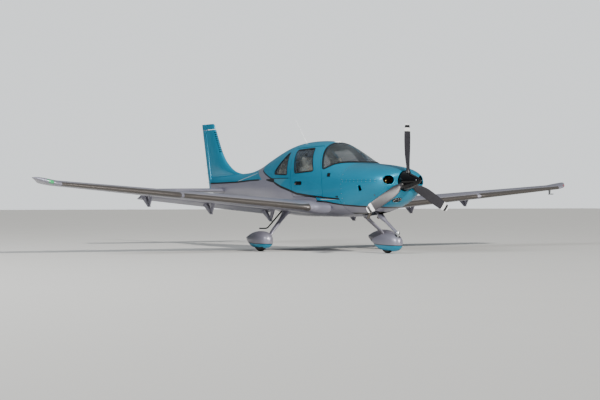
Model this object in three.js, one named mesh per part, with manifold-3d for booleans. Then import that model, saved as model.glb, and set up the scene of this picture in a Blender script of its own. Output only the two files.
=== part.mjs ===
// A four-seat, low-wing light aircraft parked on its fixed tricycle landing gear, in millimetres.
// +X is its left wing, -Y its nose and +Z up. Z = 0 is the ground, under the middle of its length.
// A station is a distance aft of the spinner's tip, and every y in the tables is a station.
import * as THREE from "three";
import { mergeVertices } from "three/addons/utils/BufferGeometryUtils.js";
import Module from "manifold-3d";

const wasm = await Module();
wasm.setup();

// Driving dimensions
const LENGTH = 7920;
const SPAN = 11680;
const GAP = 0.3; // between pieces that touch
const RUNNING_GAP = 6; // between pieces that move and what they move in
const SKIN = 26; // cabin wall
const THIN_SKIN = 12; // cowl and tail cone
const GLASS = 6;
const TIE_DOWN = { x: 4200, station: 2756, bottom: 1036, half: 25, tailStation: 6530, tailBottom: 1012 };
const PROPELLER = { radius: 990, station: 343, height: 1262, blades: 3, spinnerRadius: 164 };
const SPINNER_BACK = 400;
const FIREWALL = 1550;
const CABIN_END = 4640;
const FLOOR_TOP = 798;
const TAIL_END = 7430;
const COWL_SPLIT = 1276; // through the middle of the inlets
const BELLY_TOP = 820; // the cabin shell meets its lower tub here, just above the floor
const MAIN_WHEEL = { x: 1381, station: 3010, radius: 175, width: 146, rimRadius: 84 };
const NOSE_WHEEL = { x: 0, station: 954, radius: 162, width: 120, rimRadius: 68 };
const CASTER = { station: 650, top: 350 };

const LOFT_POINTS = 24; // round a fuselage section
const WHEEL_FACETS = 22;
const PIN_FACETS = 8;

// Colours of the finishes
const TEAL = new THREE.MeshStandardMaterial({ color: 0x0aa5c4, metalness: 0.4, roughness: 0.25 });
const SILVER = new THREE.MeshStandardMaterial({ color: 0xa9a7b0, metalness: 0.5, roughness: 0.3 });
const BLACK = new THREE.MeshStandardMaterial({ color: 0x121216, metalness: 0.1, roughness: 0.2 });
const BLADE = new THREE.MeshStandardMaterial({ color: 0x35333a, metalness: 0.1, roughness: 0.45 });
const RUBBER = new THREE.MeshStandardMaterial({ color: 0x1b1b1c, metalness: 0, roughness: 0.85 });
const METAL = new THREE.MeshStandardMaterial({ color: 0x8b8d90, metalness: 1, roughness: 0.35 });
const CAST = new THREE.MeshStandardMaterial({ color: 0x54565a, metalness: 0.8, roughness: 0.6 });
const TINTED = new THREE.MeshStandardMaterial({ color: 0x6f8790, transparent: true, opacity: 0.35 });
const HIDE = new THREE.MeshStandardMaterial({ color: 0xc9b795, metalness: 0, roughness: 0.6 });
const TRIM = new THREE.MeshStandardMaterial({ color: 0x26282c, metalness: 0, roughness: 0.7 });

// Fuselage sections. top, bottom and widest are heights, half is the half width, and the powers
// square the upper and lower halves: 2 is an ellipse, and more is boxier.
const FUSELAGE = [
  // station, top, bottom, half, widest, upperPower, lowerPower
  [415, 1390, 1120, 318, 1262, 2.3, 2.3],
  [430, 1418, 1080, 362, 1260, 2.3, 2.3],
  [470, 1450, 1010, 412, 1257, 2.3, 2.2],
  [560, 1488, 915, 466, 1250, 2.35, 2.1],
  [700, 1520, 832, 510, 1240, 2.4, 2.1],
  [950, 1556, 752, 552, 1225, 2.4, 2.15],
  [1250, 1584, 694, 584, 1205, 2.4, 2.3],
  [1550, 1606, 658, 606, 1188, 2.4, 2.5],
  [1650, 1645, 648, 611, 1180, 2.35, 2.6],
  [1850, 1746, 638, 619, 1172, 2.25, 2.7],
  [2100, 1878, 632, 626, 1165, 2.15, 2.8],
  [2350, 1980, 630, 630, 1160, 2.15, 2.9],
  [2600, 2028, 630, 631, 1158, 2.2, 2.9],
  [2900, 2050, 630, 628, 1158, 2.2, 2.9],
  [3300, 2046, 632, 614, 1160, 2.2, 2.8],
  [3700, 2008, 640, 580, 1165, 2.15, 2.7],
  [4100, 1926, 668, 520, 1175, 2.1, 2.5],
  [4640, 1766, 742, 418, 1200, 2.1, 2.3],
  [5100, 1618, 826, 326, 1225, 2.1, 2.2],
  [5600, 1518, 912, 244, 1245, 2.1, 2.1],
  [6200, 1486, 990, 168, 1255, 2.1, 2.1],
  [6800, 1462, 1048, 112, 1265, 2.1, 2.1],
  [7430, 1440, 1100, 58, 1275, 2.1, 2.1],
];

// Flying surfaces. Each row is a section: where it stands along the span (or up the fin), its
// leading edge's station, its chord, its leading edge's height (or side offset), and its thickness
// as a share of the chord.
const DIHEDRAL = Math.tan((4.8 * Math.PI) / 180);
const WING = {
  root: 700,
  half: SPAN / 2,
  centreChord: 1590,
  tipChord: 715,
  centreLead: 2310,
  tipLead: 2530,
  centreHeight: 738,
  thickness: [0.155, 0.125],
  camber: 0.02,
};
// The flaps are stored part lowered, and their hinge line runs below the wing.
const FLAP = { from: 775, to: 3590, hinge: 0.75, pivot: 0.72, drop: [225, 180], lowered: 16 };
const AILERON = { from: 3617, to: 5290, hinge: 0.77 };
const FLAP_BRACKETS = [940, 2250, 3540];
const BRACKET = { thick: 10, arm: 8, pin: 15, pinRadius: 5 }; // half thickness, and half the pin

const side = (name) => (name === "left" ? 1 : -1);
const SIDES = ["left", "right"];
const stationY = (station) => station - LENGTH / 2;
const lerp = THREE.MathUtils.lerp;
const degrees = THREE.MathUtils.degToRad;

// Reads a table by its first column with a smooth curve through its rows.
function readTable(table, at) {
  const last = table.length - 1;
  let i = 0;
  while (i < last - 1 && table[i + 1][0] < at) i += 1;
  const [a, b] = [table[i], table[i + 1]];
  const span = b[0] - a[0];
  const t = THREE.MathUtils.clamp((at - a[0]) / span, 0, 1);
  const slope = (row, column) => {
    const [p, q] = [table[Math.max(row - 1, 0)], table[Math.min(row + 1, last)]];
    return (q[column] - p[column]) / (q[0] - p[0]);
  };
  return a.map((value, column) => {
    const [m0, m1] = [slope(i, column) * span, slope(i + 1, column) * span];
    const [t2, t3] = [t * t, t * t * t];
    return (
      (2 * t3 - 3 * t2 + 1) * value + (t3 - 2 * t2 + t) * m0 + (3 * t2 - 2 * t3) * b[column] + (t3 - t2) * m1
    );
  });
}

// Solids from geometry, and back

function toSolid(geometry) {
  const bare = new THREE.BufferGeometry();
  const source = geometry.index ? geometry.toNonIndexed() : geometry;
  bare.setAttribute("position", source.getAttribute("position"));
  const merged = mergeVertices(bare, 1e-3);
  const mesh = { numProp: 3, vertProperties: merged.attributes.position.array };
  const faces = new Uint32Array(merged.index.array);
  const made = new wasm.Manifold(new wasm.Mesh({ ...mesh, triVerts: faces }));
  return made.volume() > 0 ? made : new wasm.Manifold(new wasm.Mesh({ ...mesh, triVerts: faces.reverse() }));
}

function toGeometry(solid) {
  const { numVert, numProp, vertProperties, triVerts } = solid.getMesh();
  const places = new Float32Array(numVert * 3);
  for (let i = 0; i < numVert; i += 1) {
    places.set(vertProperties.subarray(i * numProp, i * numProp + 3), i * 3);
  }
  const geometry = new THREE.BufferGeometry();
  geometry.setAttribute("position", new THREE.BufferAttribute(places, 3));
  geometry.setIndex(new THREE.BufferAttribute(new Uint32Array(triVerts), 1));
  geometry.computeVertexNormals();
  return geometry;
}

const join = (...solids) => solids.flat().reduce((a, b) => a.add(b));
const cut = (solid, ...tools) => tools.flat().reduce((a, b) => a.subtract(b), solid);

// A closed skin over rings of points, each end closed by a fan from its middle.
function loft(rings) {
  const count = rings[0].length;
  const points = rings.flat();
  const faces = [];
  for (let r = 0; r < rings.length - 1; r += 1) {
    for (let i = 0; i < count; i += 1) {
      const [a, b] = [r * count + i, r * count + ((i + 1) % count)];
      faces.push(a, b, b + count, a, b + count, a + count);
    }
  }
  [0, rings.length - 1].forEach((r, end) => {
    const middle = [0, 1, 2].map((k) => rings[r].reduce((sum, p) => sum + p[k], 0) / count);
    points.push(middle);
    for (let i = 0; i < count; i += 1) {
      const [a, b] = [r * count + i, r * count + ((i + 1) % count)];
      faces.push(...(end ? [a, b, points.length - 1] : [b, a, points.length - 1]));
    }
  });
  const geometry = new THREE.BufferGeometry();
  geometry.setAttribute("position", new THREE.Float32BufferAttribute(points.flat(), 3));
  geometry.setIndex(faces);
  return toSolid(geometry);
}

function box([x0, s0, z0], [x1, s1, z1]) {
  const geometry = new THREE.BoxGeometry(x1 - x0, s1 - s0, z1 - z0);
  geometry.translate((x0 + x1) / 2, stationY((s0 + s1) / 2), (z0 + z1) / 2);
  return toSolid(geometry);
}

// A round bar or cone between two points, given as [x, station, height].
function bar(from, to, radius, endRadius = radius, facets = 16) {
  const [a, b] = [from, to].map(([x, s, z]) => new THREE.Vector3(x, stationY(s), z));
  const along = b.clone().sub(a);
  const geometry = new THREE.CylinderGeometry(endRadius, radius, along.length(), facets);
  const turn = new THREE.Quaternion().setFromUnitVectors(new THREE.Vector3(0, 1, 0), along.normalize());
  geometry.applyQuaternion(turn);
  geometry.translate(...a.add(b).multiplyScalar(0.5).toArray());
  return toSolid(geometry);
}

// A side-view outline of [station, height] points carried across from x0 to x1.
function sidePlate(outline, x0, x1) {
  const shape = new THREE.Shape(outline.map(([s, z]) => new THREE.Vector2(stationY(s), z)));
  const geometry = new THREE.ExtrudeGeometry(shape, { depth: x1 - x0, bevelEnabled: false });
  geometry.applyMatrix4(
    new THREE.Matrix4().set(0, 0, 1, x0, 1, 0, 0, 0, 0, 1, 0, 0, 0, 0, 0, 1),
  );
  return toSolid(geometry);
}

// Turns each corner of an outline into an arc-like curve of the given reach.
function rounded(outline, reach) {
  const points = [];
  const steps = 3;
  outline.forEach((corner, i) => {
    const before = outline[(i + outline.length - 1) % outline.length];
    const after = outline[(i + 1) % outline.length];
    const ends = [before, after].map(([s, z]) => {
      const away = new THREE.Vector2(s - corner[0], z - corner[1]);
      const length = Math.min(reach, away.length() * 0.45);
      return away.setLength(length).add(new THREE.Vector2(...corner));
    });
    const curve = new THREE.QuadraticBezierCurve(ends[0], new THREE.Vector2(...corner), ends[1]);
    curve.getPoints(steps).forEach((p) => points.push([p.x, p.y]));
  });
  return points;
}

// Grows (or shrinks) an outline by moving its corners along their bisectors.
function grown(outline, by) {
  const turning = outline.reduce((sum, [s, z], i) => {
    const [s2, z2] = outline[(i + 1) % outline.length];
    return sum + s * z2 - s2 * z;
  }, 0);
  const way = Math.sign(turning) * by;
  return outline.map(([s, z], i) => {
    const before = outline[(i + outline.length - 1) % outline.length];
    const after = outline[(i + 1) % outline.length];
    const a = new THREE.Vector2(s - before[0], z - before[1]).normalize();
    const b = new THREE.Vector2(after[0] - s, after[1] - z).normalize();
    const out = new THREE.Vector2(a.y + b.y, -a.x - b.x);
    const scale = way / Math.max(0.35, out.length() / 2) / out.length();
    return [s + out.x * scale, z + out.y * scale];
  });
}

// The fuselage's skin

function fuselageRing(station, inset = 0) {
  const [, top, bottom, half, widest, upper, lower] = readTable(FUSELAGE, station);
  return Array.from({ length: LOFT_POINTS }, (_, i) => {
    const angle = (2 * Math.PI * (i + 0.5)) / LOFT_POINTS;
    const [c, s] = [Math.cos(angle), Math.sin(angle)];
    const power = 2 / (s > 0 ? upper : lower);
    const height = (s > 0 ? top - widest : widest - bottom) - inset;
    const x = (half - inset) * Math.sign(c) * Math.abs(c) ** power;
    return [x, stationY(station), widest + height * Math.sign(s) * Math.abs(s) ** power];
  });
}

function fuselageBody(stations, inset = 0) {
  return loft(stations.map((station) => fuselageRing(station, inset)));
}

const stationsBetween = (from, to) => {
  const inner = FUSELAGE.map((row) => row[0]).filter((s) => s > from + 20 && s < to - 20);
  return [from, ...inner, to];
};

// Window and door outlines in side view, [station, height]
const WINDSHIELD = [
  [1440, 1626],
  [1600, 1616],
  [1740, 1614],
  [1900, 1588],
  [2020, 1540],
  [2170, 1490],
  [2420, 1900],
  [2520, 2200],
  [1440, 2200],
];
const DOOR = [
  [2085, 1010],
  [3130, 1000],
  [3240, 1440],
  [3440, 1915],
  [2500, 1935],
  [2232, 1492],
  [2165, 1400],
];
const DOOR_WINDOW = [
  [2450, 1470],
  [3095, 1440],
  [3310, 1880],
  [2725, 1905],
];
const REAR_WINDOW = [
  [3385, 1415],
  [3960, 1440],
  [3985, 1490],
  [3800, 1660],
  [3620, 1830],
  [3560, 1850],
];
const BAGGAGE_DOOR = [
  [3480, 1010],
  [3980, 1040],
  [3980, 1360],
  [3480, 1360],
];

// Door hinges: the two ends of each hinge line, as [x, station, height] on the left side
const DOOR_HINGE = { from: [640, 2080, 1050], to: [617, 2162, 1440] };
const BAGGAGE_HINGE = { from: [607, 3472, 1060], to: [607, 3472, 1320] };
const DOOR_GAP = 8; // the doors' rear edges move back a little as they leave the wall
const KNUCKLE = { radius: 8, length: 26, pitch: 26.4 };

const CABIN_STATIONS = stationsBetween(FIREWALL, CABIN_END);
const INSIDE_STATIONS = stationsBetween(FIREWALL + 30, CABIN_END - 30);

// The wing's sections

const SECTION_POINTS = 9;

// Heights of an aerofoil's upper and lower sides at a chord share, as shares of the chord.
function aerofoil(share, thickness, camber) {
  const root = 0.2969 * Math.sqrt(share);
  const rest = 0.2843 * share ** 3 - 0.1036 * share ** 4 - 0.3516 * share ** 2 - 0.126 * share;
  const half = 5 * thickness * (root + rest);
  const crest = 0.4;
  const line =
    share < crest
      ? (camber / crest ** 2) * (2 * crest * share - share ** 2)
      : (camber / (1 - crest) ** 2) * (1 - 2 * crest + 2 * crest * share - share ** 2);
  return [line + half, line - half];
}

// One ring of [along, aft, up] points for a section with its nose at `lead`.
function sectionPoints(chord, thickness, camber, grow = 0) {
  const edge = 1.5; // half the thickness of the trailing edge
  const points = [];
  for (let k = 0; k <= 2 * SECTION_POINTS; k += 1) {
    const share = 0.5 + 0.5 * Math.cos((Math.PI * k) / SECTION_POINTS);
    const [upper, lower] = aerofoil(share, thickness, camber);
    const up = k <= SECTION_POINTS;
    const rim = (edge * share + grow) * (up ? 1 : -1);
    const aft = share * chord + (share < 0.02 ? -grow : 0);
    points.push([aft, (up ? upper : lower) * chord + rim]);
  }
  points.splice(SECTION_POINTS, 1, [-grow, 0]);
  return points;
}

function wingSection(x) {
  const t = Math.min(x / WING.half, 1);
  const chord = lerp(WING.centreChord, WING.tipChord, t);
  const lead = lerp(WING.centreLead, WING.tipLead, t);
  const height = WING.centreHeight + DIHEDRAL * x;
  return { x, lead, chord, height, thickness: lerp(...WING.thickness, t) };
}

// The nose of the outer wing stands a little ahead of the inner wing's, from this place outwards.
const CUFF = { x: 3270, step: 20, nose: 30 };

// Tip sections sweep up and back: share of the chord kept, lift, and how far out.
const WING_TIP = [
  // out, chordKept, lead, lift, thicknessKept
  [5480, 1, 0, 0, 1],
  [5600, 0.957, 6, 16, 1],
  [5716, 0.56, 122, 46, 1.35],
  [5790, 0.31, 206, 66, 1.5],
  [5840, 0.08, 292, 76, 1.6],
];

// Root sections swell towards the fuselage: how far the nose and tail reach out, and how much fatter.
const WING_ROOT = [
  // x, noseOut, tailOut, thicker
  [0, 560, 300, 1.3],
  [560, 420, 240, 1.25],
  [610, 290, 130, 1.16],
  [655, 160, 60, 1.08],
  [700, 64, 0, 1.02],
];
const ROOT_NOSE = [
  // x, noseOut: the last of that swelling, on the wing itself
  [WING.root + GAP, 64],
  [760, 24],
  [860, 0],
];

function wingRing(section, hand, grow = 0) {
  return sectionPoints(section.chord, section.thickness, WING.camber, grow).map(([aft, up]) => [
    hand * section.x,
    stationY(section.lead + aft),
    section.height + up,
  ]);
}

function wingBody(hand) {
  const outwards = ({ lead, chord, thickness, ...rest }) => {
    const longer = chord + CUFF.nose;
    return { ...rest, lead: lead - CUFF.nose, chord: longer, thickness: (thickness * chord) / longer };
  };
  const root = ROOT_NOSE.map(([x, noseOut]) => {
    const base = wingSection(x);
    return { ...base, lead: base.lead - noseOut, chord: base.chord + noseOut };
  });
  const inner = [...root, ...[1600, 2500, CUFF.x - CUFF.step].map(wingSection)];
  const outer = [CUFF.x + CUFF.step, 4400].map(wingSection);
  const tip = WING_TIP.map(([x, kept, lead, lift, thick]) => {
    const base = wingSection(x);
    return {
      ...base,
      lead: base.lead + lead,
      chord: base.chord * kept,
      height: base.height + lift,
      thickness: base.thickness * thick,
    };
  });
  return loft([...inner, ...outer.map(outwards), ...tip].map((section) => wingRing(section, hand)));
}

function wingRootBody() {
  const half = (hand) =>
    WING_ROOT.map(([x, noseOut, tailOut, thicker]) => {
      const base = wingSection(x);
      const chord = base.chord + noseOut + tailOut;
      const thickness = (base.thickness * thicker * base.chord) / chord;
      return wingRing({ ...base, lead: base.lead - noseOut, chord, thickness }, hand);
    });
  return loft([...half(-1).reverse(), ...half(1).slice(1)]);
}

// Point on a wing's mean line at a chord share, dropped by `drop`.
function wingPoint(x, share, drop = 0) {
  const { lead, chord, height, thickness } = wingSection(x);
  const [upper, lower] = aerofoil(share, thickness, WING.camber);
  return {
    station: lead + share * chord,
    middle: height + (chord * (upper + lower)) / 2 - drop,
    under: height + chord * lower,
    half: (chord * (upper - lower)) / 2,
  };
}

// The part of the wing behind a hinge line, its nose rounded about that line.
function movingSurface(body, hand, { from, to, hinge }, gap) {
  const [a, b] = [wingPoint(from - gap, hinge), wingPoint(to + gap, hinge)];
  const reach = 2000; // past the trailing edge
  const slant = (reach * (a.station - b.station)) / (to - from); // keeps the ends square to the hinge
  const plan = new THREE.Shape([
    new THREE.Vector2(hand * (from - gap), stationY(a.station)),
    new THREE.Vector2(hand * (to + gap), stationY(b.station)),
    new THREE.Vector2(hand * (to + gap + slant), stationY(b.station + reach)),
    new THREE.Vector2(hand * (from - gap + slant), stationY(a.station + reach)),
  ]);
  const prism = new THREE.ExtrudeGeometry(plan, { depth: 3000, bevelEnabled: false });
  const ends = [
    [hand * (from - gap), a.station, a.middle],
    [hand * (to + gap), b.station, b.middle],
  ];
  const nose = bar(...ends, a.half + gap, b.half + gap, 20);
  return gap > 0 ? join(toSolid(prism), nose) : join(body.intersect(toSolid(prism)), body.intersect(nose));
}

// Wings, with their ailerons, flaps and the flap hinges under them

const FLAP_LINE = [FLAP.from, FLAP.to].map((x, end) => {
  const { station, under } = wingPoint(x, FLAP.pivot);
  return [station, under - FLAP.drop[end]];
});

// Station and height of the flap's hinge line, which runs below the wing.
const flapHinge = (x) => {
  const t = (x - FLAP.from) / (FLAP.to - FLAP.from);
  return [0, 1].map((k) => lerp(FLAP_LINE[0][k], FLAP_LINE[1][k], t));
};

// A triangular fin under the wing that carries one flap hinge.
function flapBracket(hand, x) {
  const [station, height] = flapHinge(x);
  const front = wingPoint(x, 0.52);
  const back = wingPoint(x, FLAP.hinge - 0.06);
  const { thick, pin, pinRadius } = BRACKET;
  const plate = sidePlate(
    [
      [front.station, front.under + 12],
      [back.station, back.under + 12],
      [station + 18, height + 10],
      [station + 6, height - 14],
      [station - 16, height - 8],
    ],
    hand * x - thick,
    hand * x + thick,
  );
  const [start, stop] = [x - pin, x + pin].map((at) => [hand * at, ...flapHinge(at)]);
  return join(plate, bar(start, stop, pinRadius, pinRadius, PIN_FACETS));
}

// The flap's own arms, one on each side of the fixed fin.
function flapArms(hand, x) {
  const [station, height] = flapHinge(x);
  const root = wingPoint(x, FLAP.hinge + 0.11);
  return [-1, 1].map((way) => {
    const near = hand * x + way * (BRACKET.thick + RUNNING_GAP);
    const far = near + way * BRACKET.arm;
    return sidePlate(
      [
        [station - 14, height - 12],
        [station + 12, height - 14],
        [root.station + 50, root.under + 14],
        [root.station - 50, root.under + 14],
      ],
      Math.min(near, far),
      Math.max(near, far),
    );
  });
}

// Turns a solid about the line through two [x, station, height] points.
function turned(solid, from, to, angle) {
  const [a, b] = [from, to].map(([x, s, z]) => new THREE.Vector3(x, stationY(s), z));
  const axis = b.clone().sub(a).normalize();
  const place = new THREE.Matrix4()
    .makeTranslation(...a.toArray())
    .multiply(new THREE.Matrix4().makeRotationAxis(axis, degrees(angle)))
    .multiply(new THREE.Matrix4().makeTranslation(...a.clone().negate().toArray()));
  return solid.transform(place.toArray());
}

// Short pins on the aileron's hinge line, out of the wing's two ends of its bay.
function aileronPins(hand) {
  const reach = RUNNING_GAP - 0.8;
  const root = 16;
  const at = (x) => {
    const { station, middle } = wingPoint(x, AILERON.hinge);
    return [hand * x, station, middle];
  };
  return [
    [AILERON.from - root, AILERON.from - RUNNING_GAP + reach],
    [AILERON.to + RUNNING_GAP - reach, AILERON.to + root],
  ].map(([x0, x1]) => bar(at(x0), at(x1), 5, 5, PIN_FACETS));
}

// A small flat pad under the wing that takes the tie-down eye.
function tieDownPad(hand) {
  const { x, station, bottom, half } = TIE_DOWN;
  return box(
    [hand * x - half, station - half, bottom],
    [hand * x + half, station + half, bottom + 34],
  );
}

function wingParts(name) {
  const hand = side(name);
  const body = wingBody(hand);
  const flap = movingSurface(body, hand, FLAP, 0);
  const aileron = movingSurface(body, hand, AILERON, 0);
  const fixed = cut(
    body,
    movingSurface(body, hand, FLAP, RUNNING_GAP),
    movingSurface(body, hand, AILERON, RUNNING_GAP),
  );
  const brackets = FLAP_BRACKETS.map((x) => flapBracket(hand, x));
  const wing = cut(join(fixed, brackets, aileronPins(hand), tieDownPad(hand)), legBody(hand, GAP));
  const [inner, outer] = [FLAP.from, FLAP.to].map((x) => [hand * x, ...flapHinge(x)]);
  const flapWithArms = join(flap, FLAP_BRACKETS.flatMap((x) => flapArms(hand, x)));
  const lowered = turned(flapWithArms, inner, outer, -hand * FLAP.lowered);
  return [
    [`wing_${name}`, wing, SILVER],
    [`flap_${name}`, lowered, SILVER],
    [`aileron_${name}`, aileron, SILVER],
  ];
}

// Fuselage: engine cowl, cabin, doors, windows and tail

const COWL_INLET = { x: 348, station: 500, z: 1274, width: 184, height: 140, depth: 420, splay: -24 };

function cowlParts() {
  const outer = fuselageBody(stationsBetween(FUSELAGE[0][0], FIREWALL - GAP));
  const hollow = fuselageBody(stationsBetween(FUSELAGE[0][0] + 30, FIREWALL + 10), THIN_SKIN);
  const inlets = SIDES.map((name) => {
    const shape = new THREE.CylinderGeometry(0.5, 0.5, 1, 20);
    shape.scale(COWL_INLET.width, COWL_INLET.depth, COWL_INLET.height);
    shape.rotateZ(side(name) * degrees(COWL_INLET.splay));
    shape.translate(side(name) * COWL_INLET.x, stationY(COWL_INLET.station), COWL_INLET.z);
    return toSolid(shape);
  });
  const shaft = bar([0, 380, PROPELLER.height], [0, 520, PROPELLER.height], 95);
  const outlet = sidePlate(rounded([[960, 560], [1600, 560], [1600, 756], [1060, 756]], 40), -170, 170);
  const shell = cut(outer, hollow, inlets, shaft, outlet);
  const big = 2000;
  const upper = box([-big, 0, COWL_SPLIT + GAP / 2], [big, FIREWALL, big]);
  const lower = box([-big, 0, 0], [big, FIREWALL, COWL_SPLIT - GAP / 2]);
  return [
    ["cowl_upper", shell.intersect(upper), TEAL],
    ["cowl_lower", shell.intersect(lower), TEAL],
  ];
}

// Knuckles on a hinge line: one on the wall, and the next along the line on the door, each with a
// short arm that runs into its panel.
function knuckles(hinge, hand, moving) {
  const [a, b] = [hinge.from, hinge.to].map((p) => new THREE.Vector3(hand * p[0], p[1], p[2]));
  const along = b.clone().sub(a).normalize();
  const way = moving ? 1 : -1;
  return [0.12, 0.76].flatMap((t) => {
    const middle = a.clone().lerp(b, t).addScaledVector(along, (way * KNUCKLE.pitch) / 2);
    const [start, stop] = [-0.5, 0.5].map((k) => middle.clone().addScaledVector(along, k * KNUCKLE.length));
    const root = new THREE.Vector3(middle.x - hand * 24, middle.y + way * 30, middle.z);
    const arm = bar(middle.toArray(), root.toArray(), 5, 7, 4);
    return [bar(start.toArray(), stop.toArray(), KNUCKLE.radius, KNUCKLE.radius, PIN_FACETS), arm];
  });
}

// Glass that fills an outline in the skin, a little inside its face.
function pane(outline, x0, x1) {
  const outer = fuselageBody(CABIN_STATIONS, 3);
  const inner = fuselageBody(CABIN_STATIONS, 3 + GLASS);
  return cut(outer, inner).intersect(sidePlate(grown(outline, -GAP), x0, x1));
}

function cabinParts() {
  const far = 900;
  const outer = join(fuselageBody(CABIN_STATIONS), wingRootBody());
  const inside = fuselageBody(INSIDE_STATIONS, SKIN);
  const shell = cut(outer, inside);
  const windshield = rounded(WINDSHIELD, 60);
  const door = rounded(DOOR, 60);
  const doorWindow = rounded(DOOR_WINDOW, 55);
  const rearWindow = rounded(REAR_WINDOW, 55);
  const baggage = rounded(BAGGAGE_DOOR, 45);
  const reach = (name, outline, from = 0) =>
    name === "left" ? sidePlate(outline, from, far) : sidePlate(outline, -far, -from);
  const holes = [
    sidePlate(windshield, -far, far),
    ...SIDES.map((name) => reach(name, grown(door, DOOR_GAP))),
    ...SIDES.map((name) => reach(name, rearWindow)),
    reach("left", grown(baggage, DOOR_GAP)),
    ...SIDES.map((name) => legBody(side(name), GAP)),
  ];
  const fixed = [
    ...SIDES.flatMap((name) => knuckles(DOOR_HINGE, side(name), false)),
    ...knuckles(BAGGAGE_HINGE, 1, false),
  ].map((solid) => cut(solid, inside));
  const whole = join(cut(shell, holes), fixed);
  const big = 3000;
  const upper = box([-big, 0, BELLY_TOP + GAP / 2], [big, LENGTH, big]);
  const lower = box([-big, 0, 0], [big, LENGTH, BELLY_TOP - GAP / 2]);
  const parts = [
    ["fuselage_cabin", whole.intersect(upper), SILVER],
    ["cabin_belly", whole.intersect(lower), SILVER],
  ];
  SIDES.forEach((name) => {
    const panel = shell.intersect(reach(name, door));
    const hinges = knuckles(DOOR_HINGE, side(name), true).map((solid) => cut(solid, inside));
    parts.push([`door_${name}`, join(cut(panel, reach(name, doorWindow)), hinges), TEAL]);
    const from = name === "left" ? 0 : -far;
    parts.push([`door_window_${name}`, pane(doorWindow, from, from + far), TINTED]);
    parts.push([`rear_window_${name}`, pane(rearWindow, from, from + far), TINTED]);
  });
  const baggageHinges = knuckles(BAGGAGE_HINGE, 1, true).map((solid) => cut(solid, inside));
  parts.push(["baggage_door", join(shell.intersect(reach("left", baggage)), baggageHinges), SILVER]);
  parts.push(["windshield", pane(windshield, -far, far), TINTED]);
  return parts;
}

// Tail

const STABILISER = [
  // x, lead, chord, thickness; the elevators are the last part of the chord
  [0, 6655, 985, 0.1],
  [1860, 6985, 600, 0.1],
  [1935, 7040, 520, 0.09],
  [1962, 7120, 400, 0.08],
];
const STABILISER_Z = 1150;
const ELEVATOR = { from: 96, to: 1860, hinge: 0.63, nose: [30, 20] };
const FIN = [
  // height, leading edge, thickness in millimetres
  [1380, 5700, 40],
  [1480, 6020, 62],
  [1512, 6270, 84],
  [1560, 6450, 96],
  [1640, 6620, 100],
  [1770, 6815, 98],
  [1980, 7005, 92],
  [2240, 7165, 80],
  [2485, 7300, 64],
];
const RUDDER = { bottom: 1130, top: 2590, horn: 2505 };
const FIN_TOP = 2485;

const rudderHinge = (z) => 7455 + ((z - 1240) * 262) / (FIN_TOP - 1240);
const rudderTail = (z) => 7560 + ((z - 1130) * 360) / (RUDDER.top - 1130);

// A thin upright surface: sections at heights, each an aerofoil cut off where the hinge is.
function uprightBody(rows) {
  return loft(
    rows.map(([z, lead, chord, thick]) =>
      sectionPoints(chord, thick / chord, 0).map(([aft, across]) => [across, stationY(lead + aft), z]),
    ),
  );
}

function tailParts() {
  const hollow = fuselageBody(stationsBetween(CABIN_END - 20, 6900), THIN_SKIN);
  const cone = fuselageBody(stationsBetween(CABIN_END + GAP, TAIL_END));
  const finRows = FIN.map(([z, lead, thick]) => [z, lead, rudderTail(z) - lead, thick]);
  const finWhole = uprightBody(finRows);
  const rudderRows = [RUDDER.bottom, 1400, 1800, 2200, FIN_TOP + 10, RUDDER.top].map((z) => {
    const lead = rudderHinge(z) - 420;
    return [z, lead, rudderTail(z) - lead, lerp(112, 78, (z - 1130) / 1532)];
  });
  const rudderWhole = uprightBody(rudderRows);
  const behind = (gap) => {
    const low = RUDDER.bottom - 200;
    const high = RUDDER.top + 200;
    return sidePlate(
      [
        [rudderHinge(low) - gap, low],
        [rudderHinge(high) - gap, high],
        [9000, high],
        [9000, low],
      ],
      -300,
      300,
    );
  };
  const noseRadius = (z) => lerp(37, 25, (z - RUDDER.bottom) / (RUDDER.top - RUDDER.bottom));
  const nose = (gap, ...ends) => {
    const radii = ends.map((z) => noseRadius(z) + gap);
    return bar(...ends.map((z) => [0, rudderHinge(z), z]), ...radii, 20);
  };
  const horn = uprightBody([
    [RUDDER.horn, 7330, rudderTail(RUDDER.horn) - 7330, 60],
    [2566, 7352, rudderTail(2566) - 7352, 52],
    [RUDDER.top, 7395, rudderTail(RUDDER.top) - 7395, 34],
  ]);
  const rudder = join(
    rudderWhole.intersect(behind(0)),
    nose(0, RUDDER.bottom, RUDDER.horn),
    horn,
  );
  const clearance = join(behind(0), nose(RUNNING_GAP, RUDDER.bottom - 60, RUDDER.top));
  const aboveFin = box([-400, 6000, FIN_TOP], [400, 9000, 4000]);
  const { bottom } = RUDDER;
  const pin = [-15, -0.9].map((z) => [0, rudderHinge(bottom + z), bottom + z]);
  const foot = join(
    box([-24, TAIL_END - 70, bottom - 20], [24, rudderHinge(bottom) + 16, bottom - 10]),
    bar(...pin, 4, 4, PIN_FACETS),
  );
  const { half, tailStation, tailBottom } = TIE_DOWN;
  const pad = box([-half, tailStation - half, tailBottom], [half, tailStation + half, tailBottom + 22]);
  const whole = join(cone, cut(finWhole, aboveFin));
  const tail = join(cut(whole, hollow, clearance, stabiliserBody(GAP)), foot, pad);
  return [
    ["tail_cone_and_fin", tail, TEAL],
    ["rudder", rudder, TEAL],
  ];
}

function stabiliserBody(grow = 0) {
  const half = (hand) =>
    STABILISER.map(([x, lead, chord, thickness]) =>
      sectionPoints(chord, thickness, 0, grow).map(([aft, up]) => [
        hand * x,
        stationY(lead + aft),
        STABILISER_Z + up,
      ]),
    );
  return loft([...half(-1).reverse(), ...half(1).slice(1)]);
}

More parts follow.
